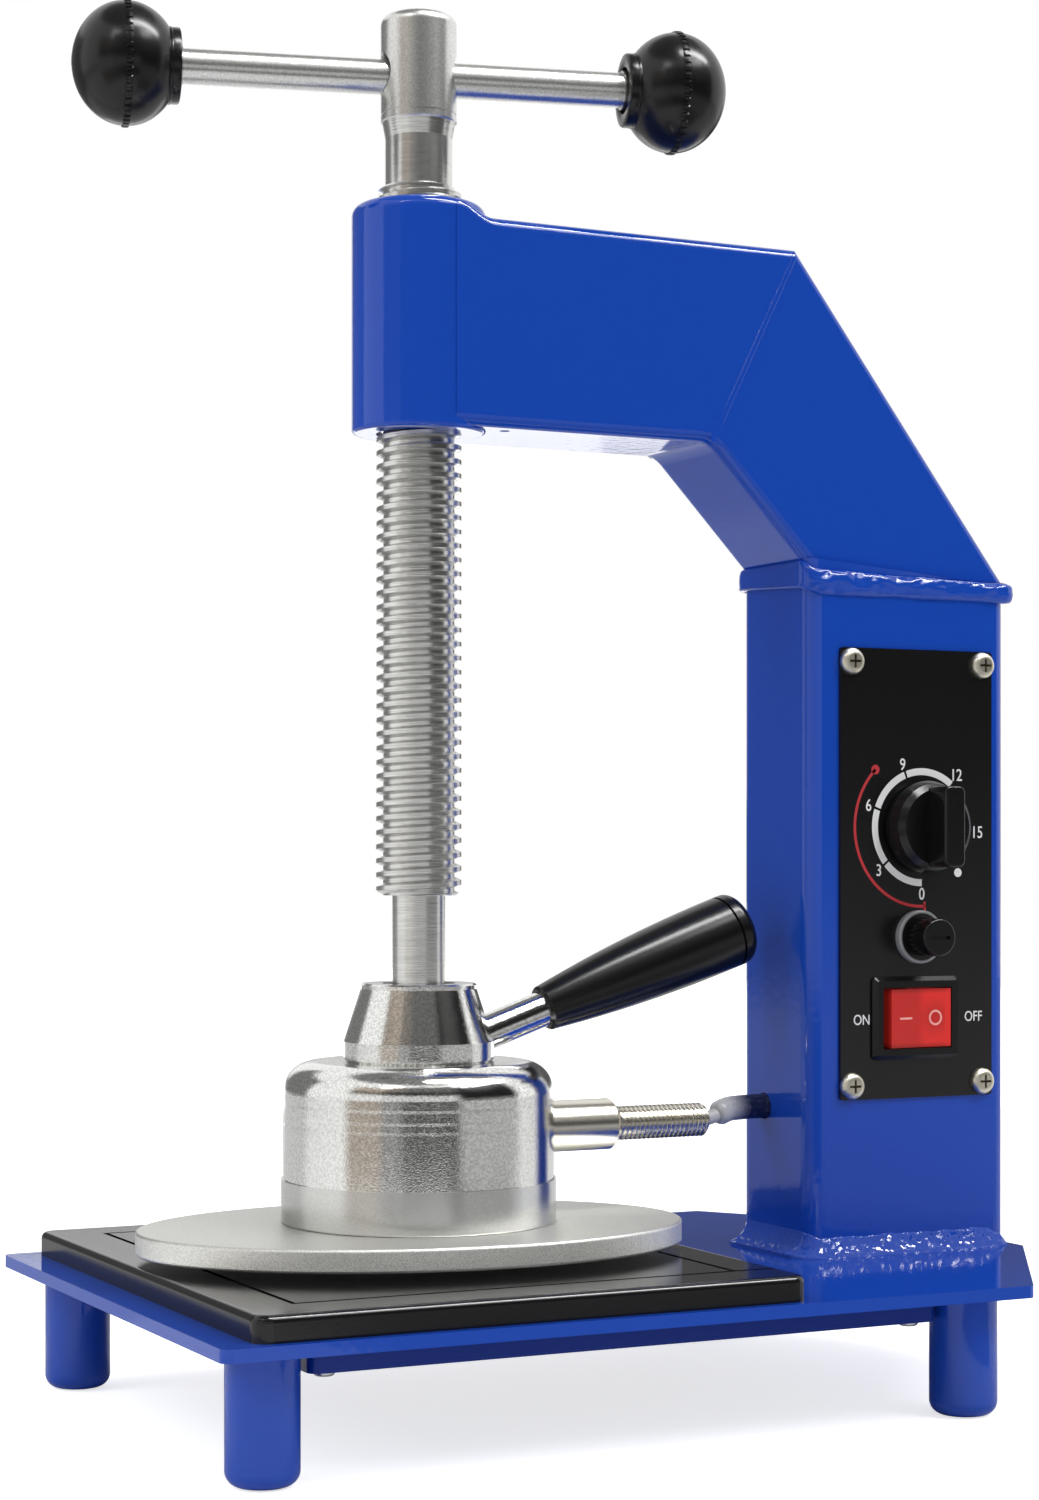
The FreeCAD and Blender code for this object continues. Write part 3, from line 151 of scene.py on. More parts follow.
def away(tree, across, up):
    """How far a point lies from a centre, from its way across and its way up."""
    squares = [maths(tree, "MULTIPLY", way, way) for way in (across, up)]
    return maths(tree, "SQRT", maths(tree, "ADD", *squares))


def part_place(tree):
    """The surface point in the part's frame, in millimetres, as three values."""
    place = add(tree, "ShaderNodeTexCoord").outputs["Object"]
    parts = add(tree, "ShaderNodeSeparateXYZ", {0: place}).outputs
    return [maths(tree, "MULTIPLY", parts[k], 1.0 / MM) for k in range(3)]


def panel_place(tree, centre):
    """How far the surface point lies across and up from a centre on the panel."""
    x, _, z = part_place(tree)
    return maths(tree, "SUBTRACT", x, centre[0]), maths(tree, "SUBTRACT", z, centre[1])


# Shared node groups

def new_group(name, inputs, output):
    """A node group with these float inputs and one float output, and its input and output nodes."""
    tree = bpy.data.node_groups.new(name, "ShaderNodeTree")
    for label, default in inputs:
        socket = tree.interface.new_socket(label, in_out="INPUT", socket_type="NodeSocketFloat")
        socket.default_value = default
    tree.interface.new_socket(output, in_out="OUTPUT", socket_type="NodeSocketFloat")
    return tree, tree.nodes.new("NodeGroupInput"), tree.nodes.new("NodeGroupOutput")


def grain_group():
    """Noise for a bump's height or a speckle, its scale in waves per metre."""
    tree, given, result = new_group("grain", [("Scale", 2000.0), ("Detail", 2.0)], "Height")
    place = add(tree, "ShaderNodeTexCoord").outputs["Object"]
    fine = add(tree, "ShaderNodeTexNoise", {"Vector": place, "Scale": given.outputs["Scale"],
                                            "Detail": given.outputs["Detail"]})
    fill(tree, result, {"Height": fine.outputs[0]})
    return tree


def marks_group():
    """Dust and small marks: a mask that is high in few small spots."""
    tree, given, result = new_group("small_marks", [("Scale", 300.0), ("Share", 0.3)], "Mask")
    place = add(tree, "ShaderNodeTexCoord").outputs["Object"]
    spots = add(tree, "ShaderNodeTexNoise", {"Vector": place, "Scale": given.outputs["Scale"],
                                             "Detail": 4.0, "Roughness": 0.7}).outputs[0]
    threshold = maths(tree, "SUBTRACT", 1.0, given.outputs["Share"])
    fill(tree, result, {"Mask": spread(tree, spots, threshold, 1.0)})
    return tree


GROUP_MAKERS = {"grain": grain_group, "marks": marks_group}
GROUPS = {}


def use_group(tree, name, inputs):
    """The output of a shared group, which is made when it is first used."""
    if name not in GROUPS:
        GROUPS[name] = GROUP_MAKERS[name]()
    node = add(tree, "ShaderNodeGroup", node_tree=GROUPS[name])
    return fill(tree, node, inputs).outputs[0]


def grain_over(tree, scale, detail=2.0):
    return use_group(tree, "grain", {"Scale": scale, "Detail": detail})


def bumped(tree, shader, height, strength, distance=0.0002):
    """Feeds a height to the shader's normal; distance is in metres."""
    bump = add(tree, "ShaderNodeBump", {"Height": height, "Strength": strength, "Distance": distance})
    fill(tree, shader, {"Normal": bump.outputs[0]})


# Finishes

NOISE_MIDDLE = (0.38, 0.62)  # most values of a noise lie between these
STEP_WIDTH = 0.9  # height of a turned step's slope


def paint_blue(blue, name, dull=False):
    """Glossy blue enamel with a slow orange peel; dull keeps the gloss in small spots, as on rough metal."""
    mat, tree, shader = new_material(name)
    dust = use_group(tree, "marks", {"Scale": 900.0, "Share": 0.32})
    pale = rgba(*[min(1.0, c * 1.5 + 0.03) for c in blue])
    colour = mixed(tree, maths(tree, "MULTIPLY", dust, 0.35), rgba(*blue), pale)
    rough = spread(tree, grain_over(tree, 620.0, 1.0), 0.55, 0.60, 0.90, 0.04) if dull else 0.08
    fill(tree, shader, {"Base Color": colour, "Roughness": rough, "IOR": 1.46})
    bumped(tree, shader, grain_over(tree, 420.0, 1.0), 0.10, 0.0003)
    return mat


def plain(name, colour, rough, metal=0.0, grain=0.0, scale=3000.0, ior=1.5, speckle=0.0, steps=()):
    """A finish of one colour; grain roughens its surface and speckle varies its colour, both finely.

    Steps are levels with the height of a faint turned step there, in units of the bump's distance."""
    mat, tree, shader = new_material(name)
    fill(tree, shader, {"Base Color": rgba(*colour), "Roughness": rough, "Metallic": metal, "IOR": ior})
    if speckle:
        low, high = (tuple(min(1.0, c * (1.0 + sign * speckle)) for c in colour) for sign in (-1.0, 1.0))
        spots = spread(tree, grain_over(tree, scale * 0.6, 1.0), *NOISE_MIDDLE)
        fill(tree, shader, {"Base Color": mixed(tree, spots, low, high)})
    if grain:
        height = grain_over(tree, scale)
        for level, rise in steps:
            z = part_place(tree)[2]
            step = spread(tree, z, level - STEP_WIDTH / 2, level + STEP_WIDTH / 2, 0.0, rise)
            height = maths(tree, "ADD", height, step)
        bumped(tree, shader, height, grain)
    return mat


def turned_finish(name, colour, rough):
    """Bright turned metal with fine marks that run round it."""
    mat, tree, shader = new_material(name)
    place = add(tree, "ShaderNodeTexCoord").outputs["Object"]
    drawn = add(tree, "ShaderNodeMapping", {"Vector": place, "Scale": (120.0, 120.0, 3200.0)}).outputs[0]
    marks = add(tree, "ShaderNodeTexNoise", {"Vector": drawn, "Scale": 1.0, "Detail": 2.0}).outputs[0]
    low = tuple(c * 0.86 for c in colour)
    fill(tree, shader, {"Base Color": mixed(tree, spread(tree, marks, *NOISE_MIDDLE), low, colour),
                        "Metallic": 1.0, "Roughness": rough})
    bumped(tree, shader, marks, 0.16)
    return mat


def cast_finish():
    """Sand-cast aluminium, with painted light: paler down its sides than on its top, as the light falls there.
    """
    mat, tree, shader = new_material("cast_aluminium")
    top = max(corner[2] for corner in NODES["press_plate"].bound_box) / MM
    # Painted light: paler below the top's edge, darker on the top itself
    painted_lit_rim = spread(tree, part_place(tree)[2], top - 0.25, top - 0.7)
    lit_and_shaded_colour = mixed(tree, painted_lit_rim, (0.66, 0.66, 0.63), (0.92, 0.92, 0.88))
    sand = grain_over(tree, 2400.0)
    dips = maths(tree, "SUBTRACT", 1.0, spread(tree, sand, 0.36, 0.56, 0.78, 1.0))
    fill(tree, shader, {"Base Color": mixed(tree, dips, lit_and_shaded_colour, (0.0, 0.0, 0.0)), "Metallic": 1.0,
                        "Roughness": 0.46})
    bumped(tree, shader, sand, 0.45)
    return mat


def sleeve_finish():
    """The lead's sleeve: pale where it leaves the conduit; dark blue towards the column, as painted shadow and
    reflection of the lead on the column's glossy face.
    """
    mat, tree, shader = new_material("lead_sleeve")
    streaks = maths(tree, "MULTIPLY", maths(tree, "SUBTRACT", grain_over(tree, 900.0), 0.5), 0.5)
    # Painted shade and reflection: the sleeve darkens to navy over the column's face
    way = maths(tree, "ADD", spread(tree, part_place(tree)[0], 53.5, 62.5), streaks)
    colour = mixed(tree, spread(tree, way, 0.0, 1.0), (0.50, 0.50, 0.52), (0.008, 0.014, 0.060))
    fill(tree, shader, {"Base Color": colour, "Roughness": 0.38})
    return mat


def screw_finish():
    """Warm nickel heads of the panel's screws, with painted shade in the bottom of their crosses."""
    mat, tree, shader = new_material("screw_heads")
    # Folding the panel about its middle lays all four screws over one
    across, up = (maths(tree, "SUBTRACT", maths(tree, "ABSOLUTE", way), reach)
                  for way, reach in zip(panel_place(tree, PANEL_MIDDLE), (23.55, 63.65)))
    # Painted shade: dark where a point lies on a cross and deep in the head
    cross = spread(tree, away(tree, across, up), 2.5, 2.2)
    painted_shade_depth = spread(tree, part_place(tree)[1], PANEL_Y - 1.9, PANEL_Y - 1.3)
    colour = mixed(tree, maths(tree, "MULTIPLY", cross, painted_shade_depth), (0.74, 0.70, 0.58), (0.10, 0.075, 0.05))
    fill(tree, shader, {"Base Color": colour, "Metallic": 1.0, "Roughness": 0.34})
    return mat


def fuse_finish():
    """Black holder with a painted highlight: a pale ring round its flange's edge."""
    mat, tree, shader = new_material("fuse_holder")
    # Painted highlight: pale beyond 7 mm from the fuse's centre
    painted_lit_rim = spread(tree, away(tree, *panel_place(tree, FUSE)), 7.0, 7.4)
    fill(tree, shader, {"Base Color": mixed(tree, painted_lit_rim, (0.005, 0.005, 0.0055), (0.26, 0.26, 0.27)),
                        "Roughness": 0.25})
    return mat


def rocker_finish(red):
    """Translucent red plastic, lit from inside towards its right end."""
    mat, tree, shader = new_material("red_rocker")
    x, _, z = part_place(tree)
    waves = [maths(tree, "SINE", maths(tree, "MULTIPLY", way, 5.2)) for way in (x, z)]
    cells = maths(tree, "MULTIPLY", *waves)
    across, up = panel_place(tree, (SWITCH[0] + MARK_OFFSET, SWITCH[1]))
    ring = spread(tree, away(tree, across, up), 2.0, 6.5, 0.35, 1.0)
    lit = maths(tree, "MULTIPLY", spread(tree, x, 105.5, 108.5, 0.35, 1.0), ring)
    lit = maths(tree, "ADD", lit, spread(tree, x, 115.4, 116.6, 0.0, 0.9))
    lit = maths(tree, "ADD", lit, maths(tree, "MULTIPLY", cells, 0.05))
    border = spread(tree, maths(tree, "ABSOLUTE", up), 7.4, 8.5, 1.0, 0.45)
    lit = maths(tree, "MULTIPLY", lit, border)
    fill(tree, shader, {"Base Color": mixed(tree, border, rgba(*[c * 0.4 for c in red]), rgba(*red)),
                        "Emission Color": mixed(tree, lit, (0.0, 0.0, 0.0), (0.25, 0.009, 0.006)),
                        "Emission Strength": 1.0, "Roughness": 0.14, "IOR": 1.45})
    return mat


CHROME = {"colour": (0.80, 0.80, 0.78), "rough": 0.10, "metal": 1.0, "grain": 0.16, "scale": 2400.0,
          "speckle": 0.12}
PLAIN_FINISHES = {
    "zinc_steel": {"colour": (0.58, 0.58, 0.56), "rough": 0.28, "metal": 1.0, "grain": 0.05},
    "satin_steel": {"colour": (0.73, 0.73, 0.71), "rough": 0.29, "metal": 1.0, "grain": 0.12,
                    "speckle": 0.10},
    "black_plastic": {"colour": (0.0045, 0.0045, 0.005), "rough": 0.24, "grain": 0.03, "scale": 1500.0,
                      "ior": 1.42},
    "panel_black": {"colour": (0.0045, 0.0045, 0.005), "rough": 0.24, "grain": 0.06, "scale": 2600.0,
                    "ior": 1.52},
    "chrome": CHROME,
    "drum_chrome": {**CHROME, "steps": ((87.8, -1.1), (84.4, 1.1), (81.8, -1.1))},
    "turned_aluminium": {"colour": (0.70, 0.70, 0.68), "rough": 0.22, "metal": 1.0, "speckle": 0.05},
    "nickel": {"colour": (0.74, 0.71, 0.63), "rough": 0.24, "metal": 1.0},
    "element_steel": {"colour": (0.30, 0.28, 0.26), "rough": 0.4, "metal": 1.0},
    "brass": {"colour": (0.75, 0.55, 0.25), "rough": 0.3, "metal": 1.0},
    "insulation": {"colour": (0.75, 0.73, 0.66), "rough": 0.8},
    "ceramic": {"colour": (0.80, 0.78, 0.72), "rough": 0.5},
    "timer_plastic": {"colour": (0.75, 0.74, 0.70), "rough": 0.45},
    "lead_core": {"colour": (0.52, 0.52, 0.54), "rough": 0.45},
    # Painted shade: a darker copy of the blue paint for the bottom cover, which lies in shade under the base
    # plate
    "cover_painted_shade": {"colour": (0.001, 0.026, 0.238), "rough": 0.25, "ior": 1.33},
    "fuse_glass": {"colour": (0.7, 0.75, 0.75), "rough": 0.1},
    "white_ink": {"colour": (0.80, 0.80, 0.80), "rough": 0.5},
    "red_ink": {"colour": (0.50, 0.012, 0.022), "rough": 0.5},
    "pink_ink": {"colour": (0.95, 0.42, 0.38), "rough": 0.4},
}
MATERIALS = {}


def materials():
    """Makes each finish once and returns them by name."""
    if MATERIALS:
        return MATERIALS
    paint = bpy.context.scene.vulc_paint
    MATERIALS.update({name: plain(name, **values) for name, values in PLAIN_FINISHES.items()})
    MATERIALS.update({
        "blue_paint": paint_blue(paint.blue, "blue_paint"),
        "weld_paint": paint_blue(paint.blue, "weld_paint", dull=True),
        "platform_black": plain("platform_black", paint.black, 0.16, grain=0.05, scale=2500.0, ior=1.48),
        "spindle_steel": turned_finish("spindle_steel", (0.78, 0.78, 0.76), 0.25),
        "cast_aluminium": cast_finish(),
        "red_rocker": rocker_finish(paint.red),
        "lead_sleeve": sleeve_finish(),
        "screw_heads": screw_finish(),
        "fuse_holder": fuse_finish(),
    })
    return MATERIALS


# Mesh helpers

def smooth(mesh, degrees):
    """Smooth shading, except where faces meet more sharply than this."""
    mesh.polygons.foreach_set("use_smooth", [True] * len(mesh.polygons))
    mesh.set_sharp_from_angle(angle=math.radians(degrees))


def mesh_object(name, verts, faces, smooth_angle=35.0):
    """An object from millimetre points, with its faces turned outward."""
    mesh = bpy.data.meshes.new(name)
    mesh.from_pydata([(x * MM, y * MM, z * MM) for x, y, z in verts], [], faces)
    mesh.validate()
    bm = bmesh.new()
    bm.from_mesh(mesh)
    bmesh.ops.recalc_face_normals(bm, faces=bm.faces)
    bm.to_mesh(mesh)
    bm.free()
    smooth(mesh, smooth_angle)
    mesh.update()
    return bpy.data.objects.new(name, mesh)


def sweep(name, sections, smooth_angle, closed=False):
    """Joins a row of equally long point rings into one skin; closed joins the last ring to the first."""
    rows, count = len(sections), len(sections[0])
    verts = [point for section in sections for point in section]
    faces = []
    for i in range(rows if closed else rows - 1):
        k = (i + 1) % rows
        for j in range(count):
            m = (j + 1) % count
            faces.append((i * count + j, i * count + m, k * count + m, k * count + j))
    if not closed:
        faces.append(tuple(range(count)))
        faces.append(tuple((rows - 1) * count + j for j in reversed(range(count))))
    return mesh_object(name, verts, faces, smooth_angle)


def joined(name, parts, smooth_angle=35.0):
    """Several objects' meshes as one object, for a row of like small forms."""
    bm = bmesh.new()
    for part in parts:
        bm.from_mesh(part.data)
    mesh = bpy.data.meshes.new(name)
    bm.to_mesh(mesh)
    bm.free()
    for part in parts:
        old = part.data
        bpy.data.objects.remove(part)
        bpy.data.meshes.remove(old)
    smooth(mesh, smooth_angle)
    return bpy.data.objects.new(name, mesh)


def link(obj, mat, body, stand_for=()):
    """Links a finished object, gives it its material, and lets it ride on a body."""
    bpy.context.scene.collection.objects.link(obj)
    obj.data.materials.append(mat)
    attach(obj, body)
    if stand_for:
        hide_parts(*stand_for)


def tube_rings(points, radii, steps):
    """Rings of this many points round a path, with a radius for each of its points."""
    rings = []
    side = Vector((0.0, 1.0, 0.0))
    for i, (point, radius) in enumerate(zip(points, radii)):
        before, after = points[max(i - 1, 0)], points[min(i + 1, len(points) - 1)]
        ahead = (Vector(after) - Vector(before)).normalized()
        side = (side - ahead * side.dot(ahead)).normalized()
        up = ahead.cross(side)
        angles = [2 * math.pi * k / steps for k in range(steps)]
        rings.append([tuple(Vector(point) + side * (radius * math.cos(a)) + up * (radius * math.sin(a)))
                      for a in angles])
    return rings


CORNER_STEPS = 8  # lines round a quarter turn


def rounded_rectangle(x0, x1, y0, y1, corner, step):
    """Points and outward directions round a rectangle with round corners, from its corner at +X and -Y."""
    corners = [(x1 - corner, y0 + corner, -90), (x1 - corner, y1 - corner, 0),
               (x0 + corner, y1 - corner, 90), (x0 + corner, y0 + corner, 180)]
    arcs = []
    for cx, cy, start in corners:
        angles = [math.radians(start + 90 * k / CORNER_STEPS) for k in range(CORNER_STEPS + 1)]
        arcs.append([(cx + corner * math.cos(a), cy + corner * math.sin(a), math.cos(a), math.sin(a))
                     for a in angles])
    out = []
    for i, arc in enumerate(arcs):
        out.extend(arc)
        x, y, nx, ny = arc[-1]
        next_x, next_y = arcs[(i + 1) % 4][0][:2]
        parts = max(2, int(math.hypot(next_x - x, next_y - y) / step))
        out.extend((x + (next_x - x) * (k / parts), y + (next_y - y) * (k / parts), nx, ny)
                   for k in range(1, parts))
    return out


# Finishes of the solids

SLOT_OF = {entry["node"]: entry["material_slot"] for entry in frame["record"]["subparts"]}
# The bottom cover takes the darker blue, as painted shade
OWN_FINISH = {"panel_screws": "screw_heads", "fuse_holder": "fuse_holder", "bottom_cover": "cover_painted_shade",
              "screw_spindle": "spindle_steel", "screw_nut": "blue_paint", "heater_cover": "drum_chrome"}


class VULC_OT_finishes(bpy.types.Operator):
    """Gives every CAD node its procedural material"""
    bl_idname = "vulc.finishes"
    bl_label = "Frame finishes"

    def execute(self, context):
        mats = materials()
        for name, obj in NODES.items():
            obj.data.materials.clear()
            obj.data.materials.append(mats[OWN_FINISH.get(name) or SLOT_OF[name]])
        return {"FINISHED"}


# Balls of the bar

BAR_ANGLE = math.radians(-14.55)
BAR_Z = 379.9
BALLS = (("left_ball", -83.2, -1.0), ("right_ball", 75.2, 1.0))  # middle along the bar, outward side
BALL_RADIUS = 17.1
BALL_REACH = 15.1  # from its middle to its outer end
BALL_FLAT = 1.2  # radius of the flat on its outer end
BALL_STEPS = 288  # points round it
SEAM_EDGE = ((17.06, 1.0), (17.45, 0.9), (17.55, 0.55))  # radius and height, as for the collar
COLLAR = ((10.72, -12.3), (10.55, -12.6), (10.55, -14.4), (10.37, -14.83), (9.95, -15.0), (6.9, -15.0),
          (6.7, -14.9), (6.7, -13.5), (5.02, -13.5))
TOOTH_STEPS = 6  # points from one tooth of the seam to the next
TOOTH_DEPTH = 0.50


def ball_profile():
    """Radius and height along the bar of each ring of a ball, from its outer end to its collar's bore."""
    profile = [(0.0, BALL_REACH), (BALL_FLAT, BALL_REACH)]
    outer = [math.radians(86.0 * (1 - k / 30.0)) for k in range(1, 31)]
    inner = [math.radians(-5.0 - 46.4 * k / 21.0) for k in range(1, 22)]
    seam_top = SEAM_EDGE[0][1] + 0.05
    profile += [(BALL_RADIUS * math.cos(t), BALL_REACH * math.sin(t)) for t in outer
                if BALL_REACH * math.sin(t) > seam_top]
    profile += [*SEAM_EDGE, *((radius, -height) for radius, height in reversed(SEAM_EDGE))]
    profile += [(BALL_RADIUS * math.cos(t), BALL_REACH * math.sin(t)) for t in inner]
    return [*profile, *COLLAR]


class VULC_OT_balls(bpy.types.Operator):
    """Makes the two black balls with their moulded seams and collars"""
    bl_idname = "vulc.balls"
    bl_label = "Bar balls"

    def execute(self, context):
        mats = materials()
        along = Vector((math.cos(BAR_ANGLE), math.sin(BAR_ANGLE), 0.0))
        across = Vector((-math.sin(BAR_ANGLE), math.cos(BAR_ANGLE), 0.0))
        seam_side = (SEAM_EDGE[0][1] + SEAM_EDGE[1][1]) / 2
        for name, distance, outward in BALLS:
            middle = Vector((AXIS_X, 0.0, BAR_Z)) + along * distance
            axis = along * outward
            verts, faces, rows = [], [], []
            for radius, height in ball_profile():
                steps = BALL_STEPS if radius else 1
                rows.append([len(verts) + i for i in range(steps)])
                for i in range(steps):
                    a = 2 * math.pi * i / BALL_STEPS
                    cut = abs(height) < seam_side and i % TOOTH_STEPS < TOOTH_STEPS // 2
                    r = radius - (TOOTH_DEPTH if cut else 0.0)
                    verts.append(tuple(middle + axis * height + across * (r * math.cos(a))
                                       + Vector((0, 0, r * math.sin(a)))))
            for low, high in zip(rows, rows[1:]):
                for i in range(BALL_STEPS):
                    j = (i + 1) % BALL_STEPS
                    if len(low) == 1:
                        faces.append((low[0], high[i], high[j]))
                    else:
                        faces.append((low[i], high[i], high[j], low[j]))
            obj = mesh_object(name + "_moulded", verts, faces, 28.0)
            link(obj, mats["black_plastic"], "sliding_bar", stand_for=(name + "_knob",))
        return {"FINISHED"}


# Welds

WELD_STEPS = 16  # points across a bead
WELD_POINT_GAP = 0.5  # between its outlines
WELD_ROOT = 0.6  # how far it goes into the column
FOOT_LEVEL = 37.9  # just inside the base plate
FOOT_REACH = 4.6
FOOT_HEIGHT = 5.8
FOOT_TAPER = 9.0  # length over which it thins towards the column's right end
KNEE_SEAM = 245.9  # the solids' joint at the column's left edge
KNEE_SEAM_DROP = 6.0  # how much lower it is at the right edge
KNEE_BEAD = 239.6  # the bead's middle at the left edge of the front
KNEE_HALF = 2.7  # half its height
KNEE_PROUD = 1.5
KNEE_ROOT = 1.6
KNEE_FILM = 0.08  # thickness of the film over the joint
RIGHT_SWELL = (137.0, 8.0)  # the knee bead's thick end, its middle and half its length
MITRE = ((64.6, 335.3), (36.8, 279.3))  # x and z of its upper and lower end
MITRE_ACROSS = (0.896, -0.445)
MITRE_POINTS = 120
ARM_SIDE = 19.15  # just inside the arm's side


def lumps(x, y, z, seed, size):
    """Uneven weld metal: slow swells and finer ripples, from about -1 to 1."""
    place = Vector((x + seed, y - seed, z))
    fine = noise.noise(place / (size * 0.38) + Vector((7.1, 3.3, 1.7)))
    return 0.65 * noise.noise(place / size) + 0.35 * fine


def faced(direction):
    """How much a side faces this way, from 0 to 1."""
    return max(0.0, direction) ** 2


def foot_section(px, py, nx, ny, ripple):
    """The foot bead's outline at one point of the column: a fillet, rough and uneven on the front."""
    front, left = faced(-ny), faced(-nx)
    thin = max(0.0, 1.0 - (COLUMN[1] + 1.0 - px) / FOOT_TAPER)
    swell = lumps(px, py, 0.0, 11.0, 8.0)
    reach = (FOOT_REACH + 0.9 * left + 0.8 * front * swell) * (1.0 - 0.75 * thin)
    height = (FOOT_HEIGHT + 1.8 * left + 1.0 * front * swell) * (1.0 - 0.70 * thin)
    toe = 0.08 + 0.9 * left
    spatter = min(1.0, max(0.05, 0.35 + 2.8 * noise.noise(Vector((px / 9.0, 4.7, 2.3)))))
    row = [(px - nx * WELD_ROOT, py - ny * WELD_ROOT, FOOT_LEVEL),
           (px + nx * reach, py + ny * reach, FOOT_LEVEL)]
    for k in range(WELD_STEPS + 1):
        t = math.radians(90.0 * k / WELD_STEPS)
        out, up = reach * (1.0 - math.sin(t)), toe + (height - toe) * (1.0 - math.cos(t))
        bulge = math.sin(2 * t) ** 0.8 if 0 < k < WELD_STEPS else 0.0
        rough = front * math.sin(t) ** 4 * spatter
        grow = bulge * (0.4 + 0.8 * front + 0.6 * front * swell)
        grow += 1.1 * rough * bulge * lumps(px * 0.75, py + k * 0.8, 3.0, 5.0, 1.6)
        grow += ripple * rough * lumps(px * 2.0, k * 1.1, 3.0, 9.0, 2.0)
        out += grow * 0.75
        row.append((px + nx * out, py + ny * out, FOOT_LEVEL + up + grow * 0.65))
    row.append((px - nx * WELD_ROOT, py - ny * WELD_ROOT, FOOT_LEVEL + height))
    return row


def knee_section(px, py, nx, ny, ripple):
    """The knee bead's outline at one point: a round band, and a film over the solids' joint above it."""
    x0, x1, y0, y1 = COLUMN
    along, back = (px - x0) / (x1 - x0), (py - y0) / (y1 - y0)
    front, left = faced(-ny), faced(-nx)
    middle = KNEE_BEAD - 1.0 * along + (2.4 - 0.6 * along) * back
    middle += (241.85 + 1.15 * back - middle) * left
    thick_end = max(0.0, 1.0 - abs(px - RIGHT_SWELL[0]) / RIGHT_SWELL[1]) * front
    swell = lumps(px * 0.7, py, 0.0, 31.0, 8.0)
    proud = KNEE_PROUD + front * (0.45 + 0.6 * swell) + 0.7 * thick_end
    half = KNEE_HALF + left * (1.65 - 1.15 * back) + front * (1.2 - 1.0 * along + 0.5 * swell)
    half += 0.4 * thick_end
    row = []
    for k in range(WELD_STEPS + 1):
        degrees = -90.0 + 180.0 * k / WELD_STEPS
        t = math.radians(degrees)
        bulge = max(0.0, math.cos(t))
        lip = 0.55 * left * math.exp(-((degrees + 58.0) / 13.0) ** 2)
        out = proud * bulge ** (1.0 - 0.6 * (1.0 - front)) + lip
        upper = 0.3 + 0.7 * max(0.0, math.sin(t + 0.6))
        rough = 1.5 * lumps(px * 0.4, k * 0.55, 9.0, 3.0, 3.0)
        rough += ripple * lumps(px * 0.9, k * 1.1, 5.0, 13.0, 2.0)
        out += front * bulge * upper * rough - 0.15
        row.append((px + nx * out, py + ny * out, middle + half * math.sin(t)))
    cover = max(KNEE_SEAM - KNEE_SEAM_DROP * along + 0.9, middle + half + 0.1)
    row.append((px + nx * KNEE_FILM, py + ny * KNEE_FILM, cover))
    row.append((px - nx * KNEE_ROOT, py - ny * KNEE_ROOT, cover))
    row.append((px - nx * KNEE_ROOT, py - ny * KNEE_ROOT, middle - half * 0.9))
    return row


def mitre_seam(side):
    """A ground seam on one side of the arm, thinner at its lower end."""
    (top_x, top_z), (foot_x, foot_z) = MITRE
    dx, dz = MITRE_ACROSS
    sections = []
    for i in range(MITRE_POINTS + 1):
        t = i / MITRE_POINTS
        x, z = top_x + (foot_x - top_x) * t, top_z + (foot_z - top_z) * t
        swell = lumps(x, z, side * 4.0, 17.0, 4.0)
        wide = 0.85 + 0.25 * swell
        proud = (0.34 + 0.18 * swell) * min(1.0, 0.25 + 2.4 * (1.0 - t))
        angles = [math.radians(180.0 * k / 6.0) for k in range(7)]
        sections.append([(x + dx * wide * math.cos(a), side * (ARM_SIDE + proud * math.sin(a)),
                          z + dz * wide * math.cos(a)) for a in angles])
    return sweep("seam", sections, 80.0)


class VULC_OT_welds(bpy.types.Operator):
    """Makes the weld beads at the column's foot and top, and the ground seams of the mitre"""
    bl_idname = "vulc.welds"
    bl_label = "Welds"

    def execute(self, context):
        mats = materials()
        ripple = context.scene.vulc_sizes.weld_ripple / MM
        x0, x1, y0, y1 = COLUMN
        ring = rounded_rectangle(x0, x1, y0, y1, 5.5, WELD_POINT_GAP)
        foot = sweep("foot_weld_bead", [foot_section(*point, ripple) for point in ring], 75.0, closed=True)
        link(foot, mats["weld_paint"], "frame", stand_for=("foot_weld",))

        ring = rounded_rectangle(x0 - 0.6, x1 + 1.9, y0 - 0.1, y1 + 0.1, 4.5, WELD_POINT_GAP)
        knee = sweep("knee_weld_bead", [knee_section(*point, ripple) for point in ring], 75.0, closed=True)
        link(knee, mats["blue_paint"], "frame", stand_for=("knee_weld",))

        seams = joined("mitre_seams", [mitre_seam(side) for side in (-1.0, 1.0)], 80.0)
        link(seams, mats["blue_paint"], "frame")
        return {"FINISHED"}


# Print on the panel and marks on the rocker

PRINT_ROOT = 0.05  # how far a print goes into the panel
PRINT_LIFT = 0.06  # and how far it stands out
DIAL_TURN = {"0": 0, "3": 50, "6": 109, "9": 160, "12": 219, "15": 274}  # the knob's turn for each number
BANDED_TURNS = (0, 50, 109, 160, 219)  # the white bands run from one of these to the next
BAND = (15.8, 17.9)  # inner and outer radius
BAND_GAP = 1.3  # degrees left open at each side of a number
NUMBER_RADIUS = 20.2
LONG_NUMBER_RADIUS = 20.6
LETTER_WIDTH = 0.86  # share of the font's own width
LONE_DOT = (-46.3, 19.1, 1.35)  # angle, distance from the dial's centre, radius
RED_ARC = (134.0, 273.0)  # from and to, in degrees
RED_RADIUS = 24.0
RED_BAND = (23.55, 24.45)  # inner and outer radius, as for the bar at its end
RED_END = (22.6, 25.4)
MARK_OFFSET = 6.2  # from the rocker's middle to its ring
MARK_SINK = 0.1  # how far a mark goes into the rocker
ROCKER_HEIGHT = 2.183  # the rocker's right half in front of the panel
RING = (1.75, 2.35)  # inner and outer radius
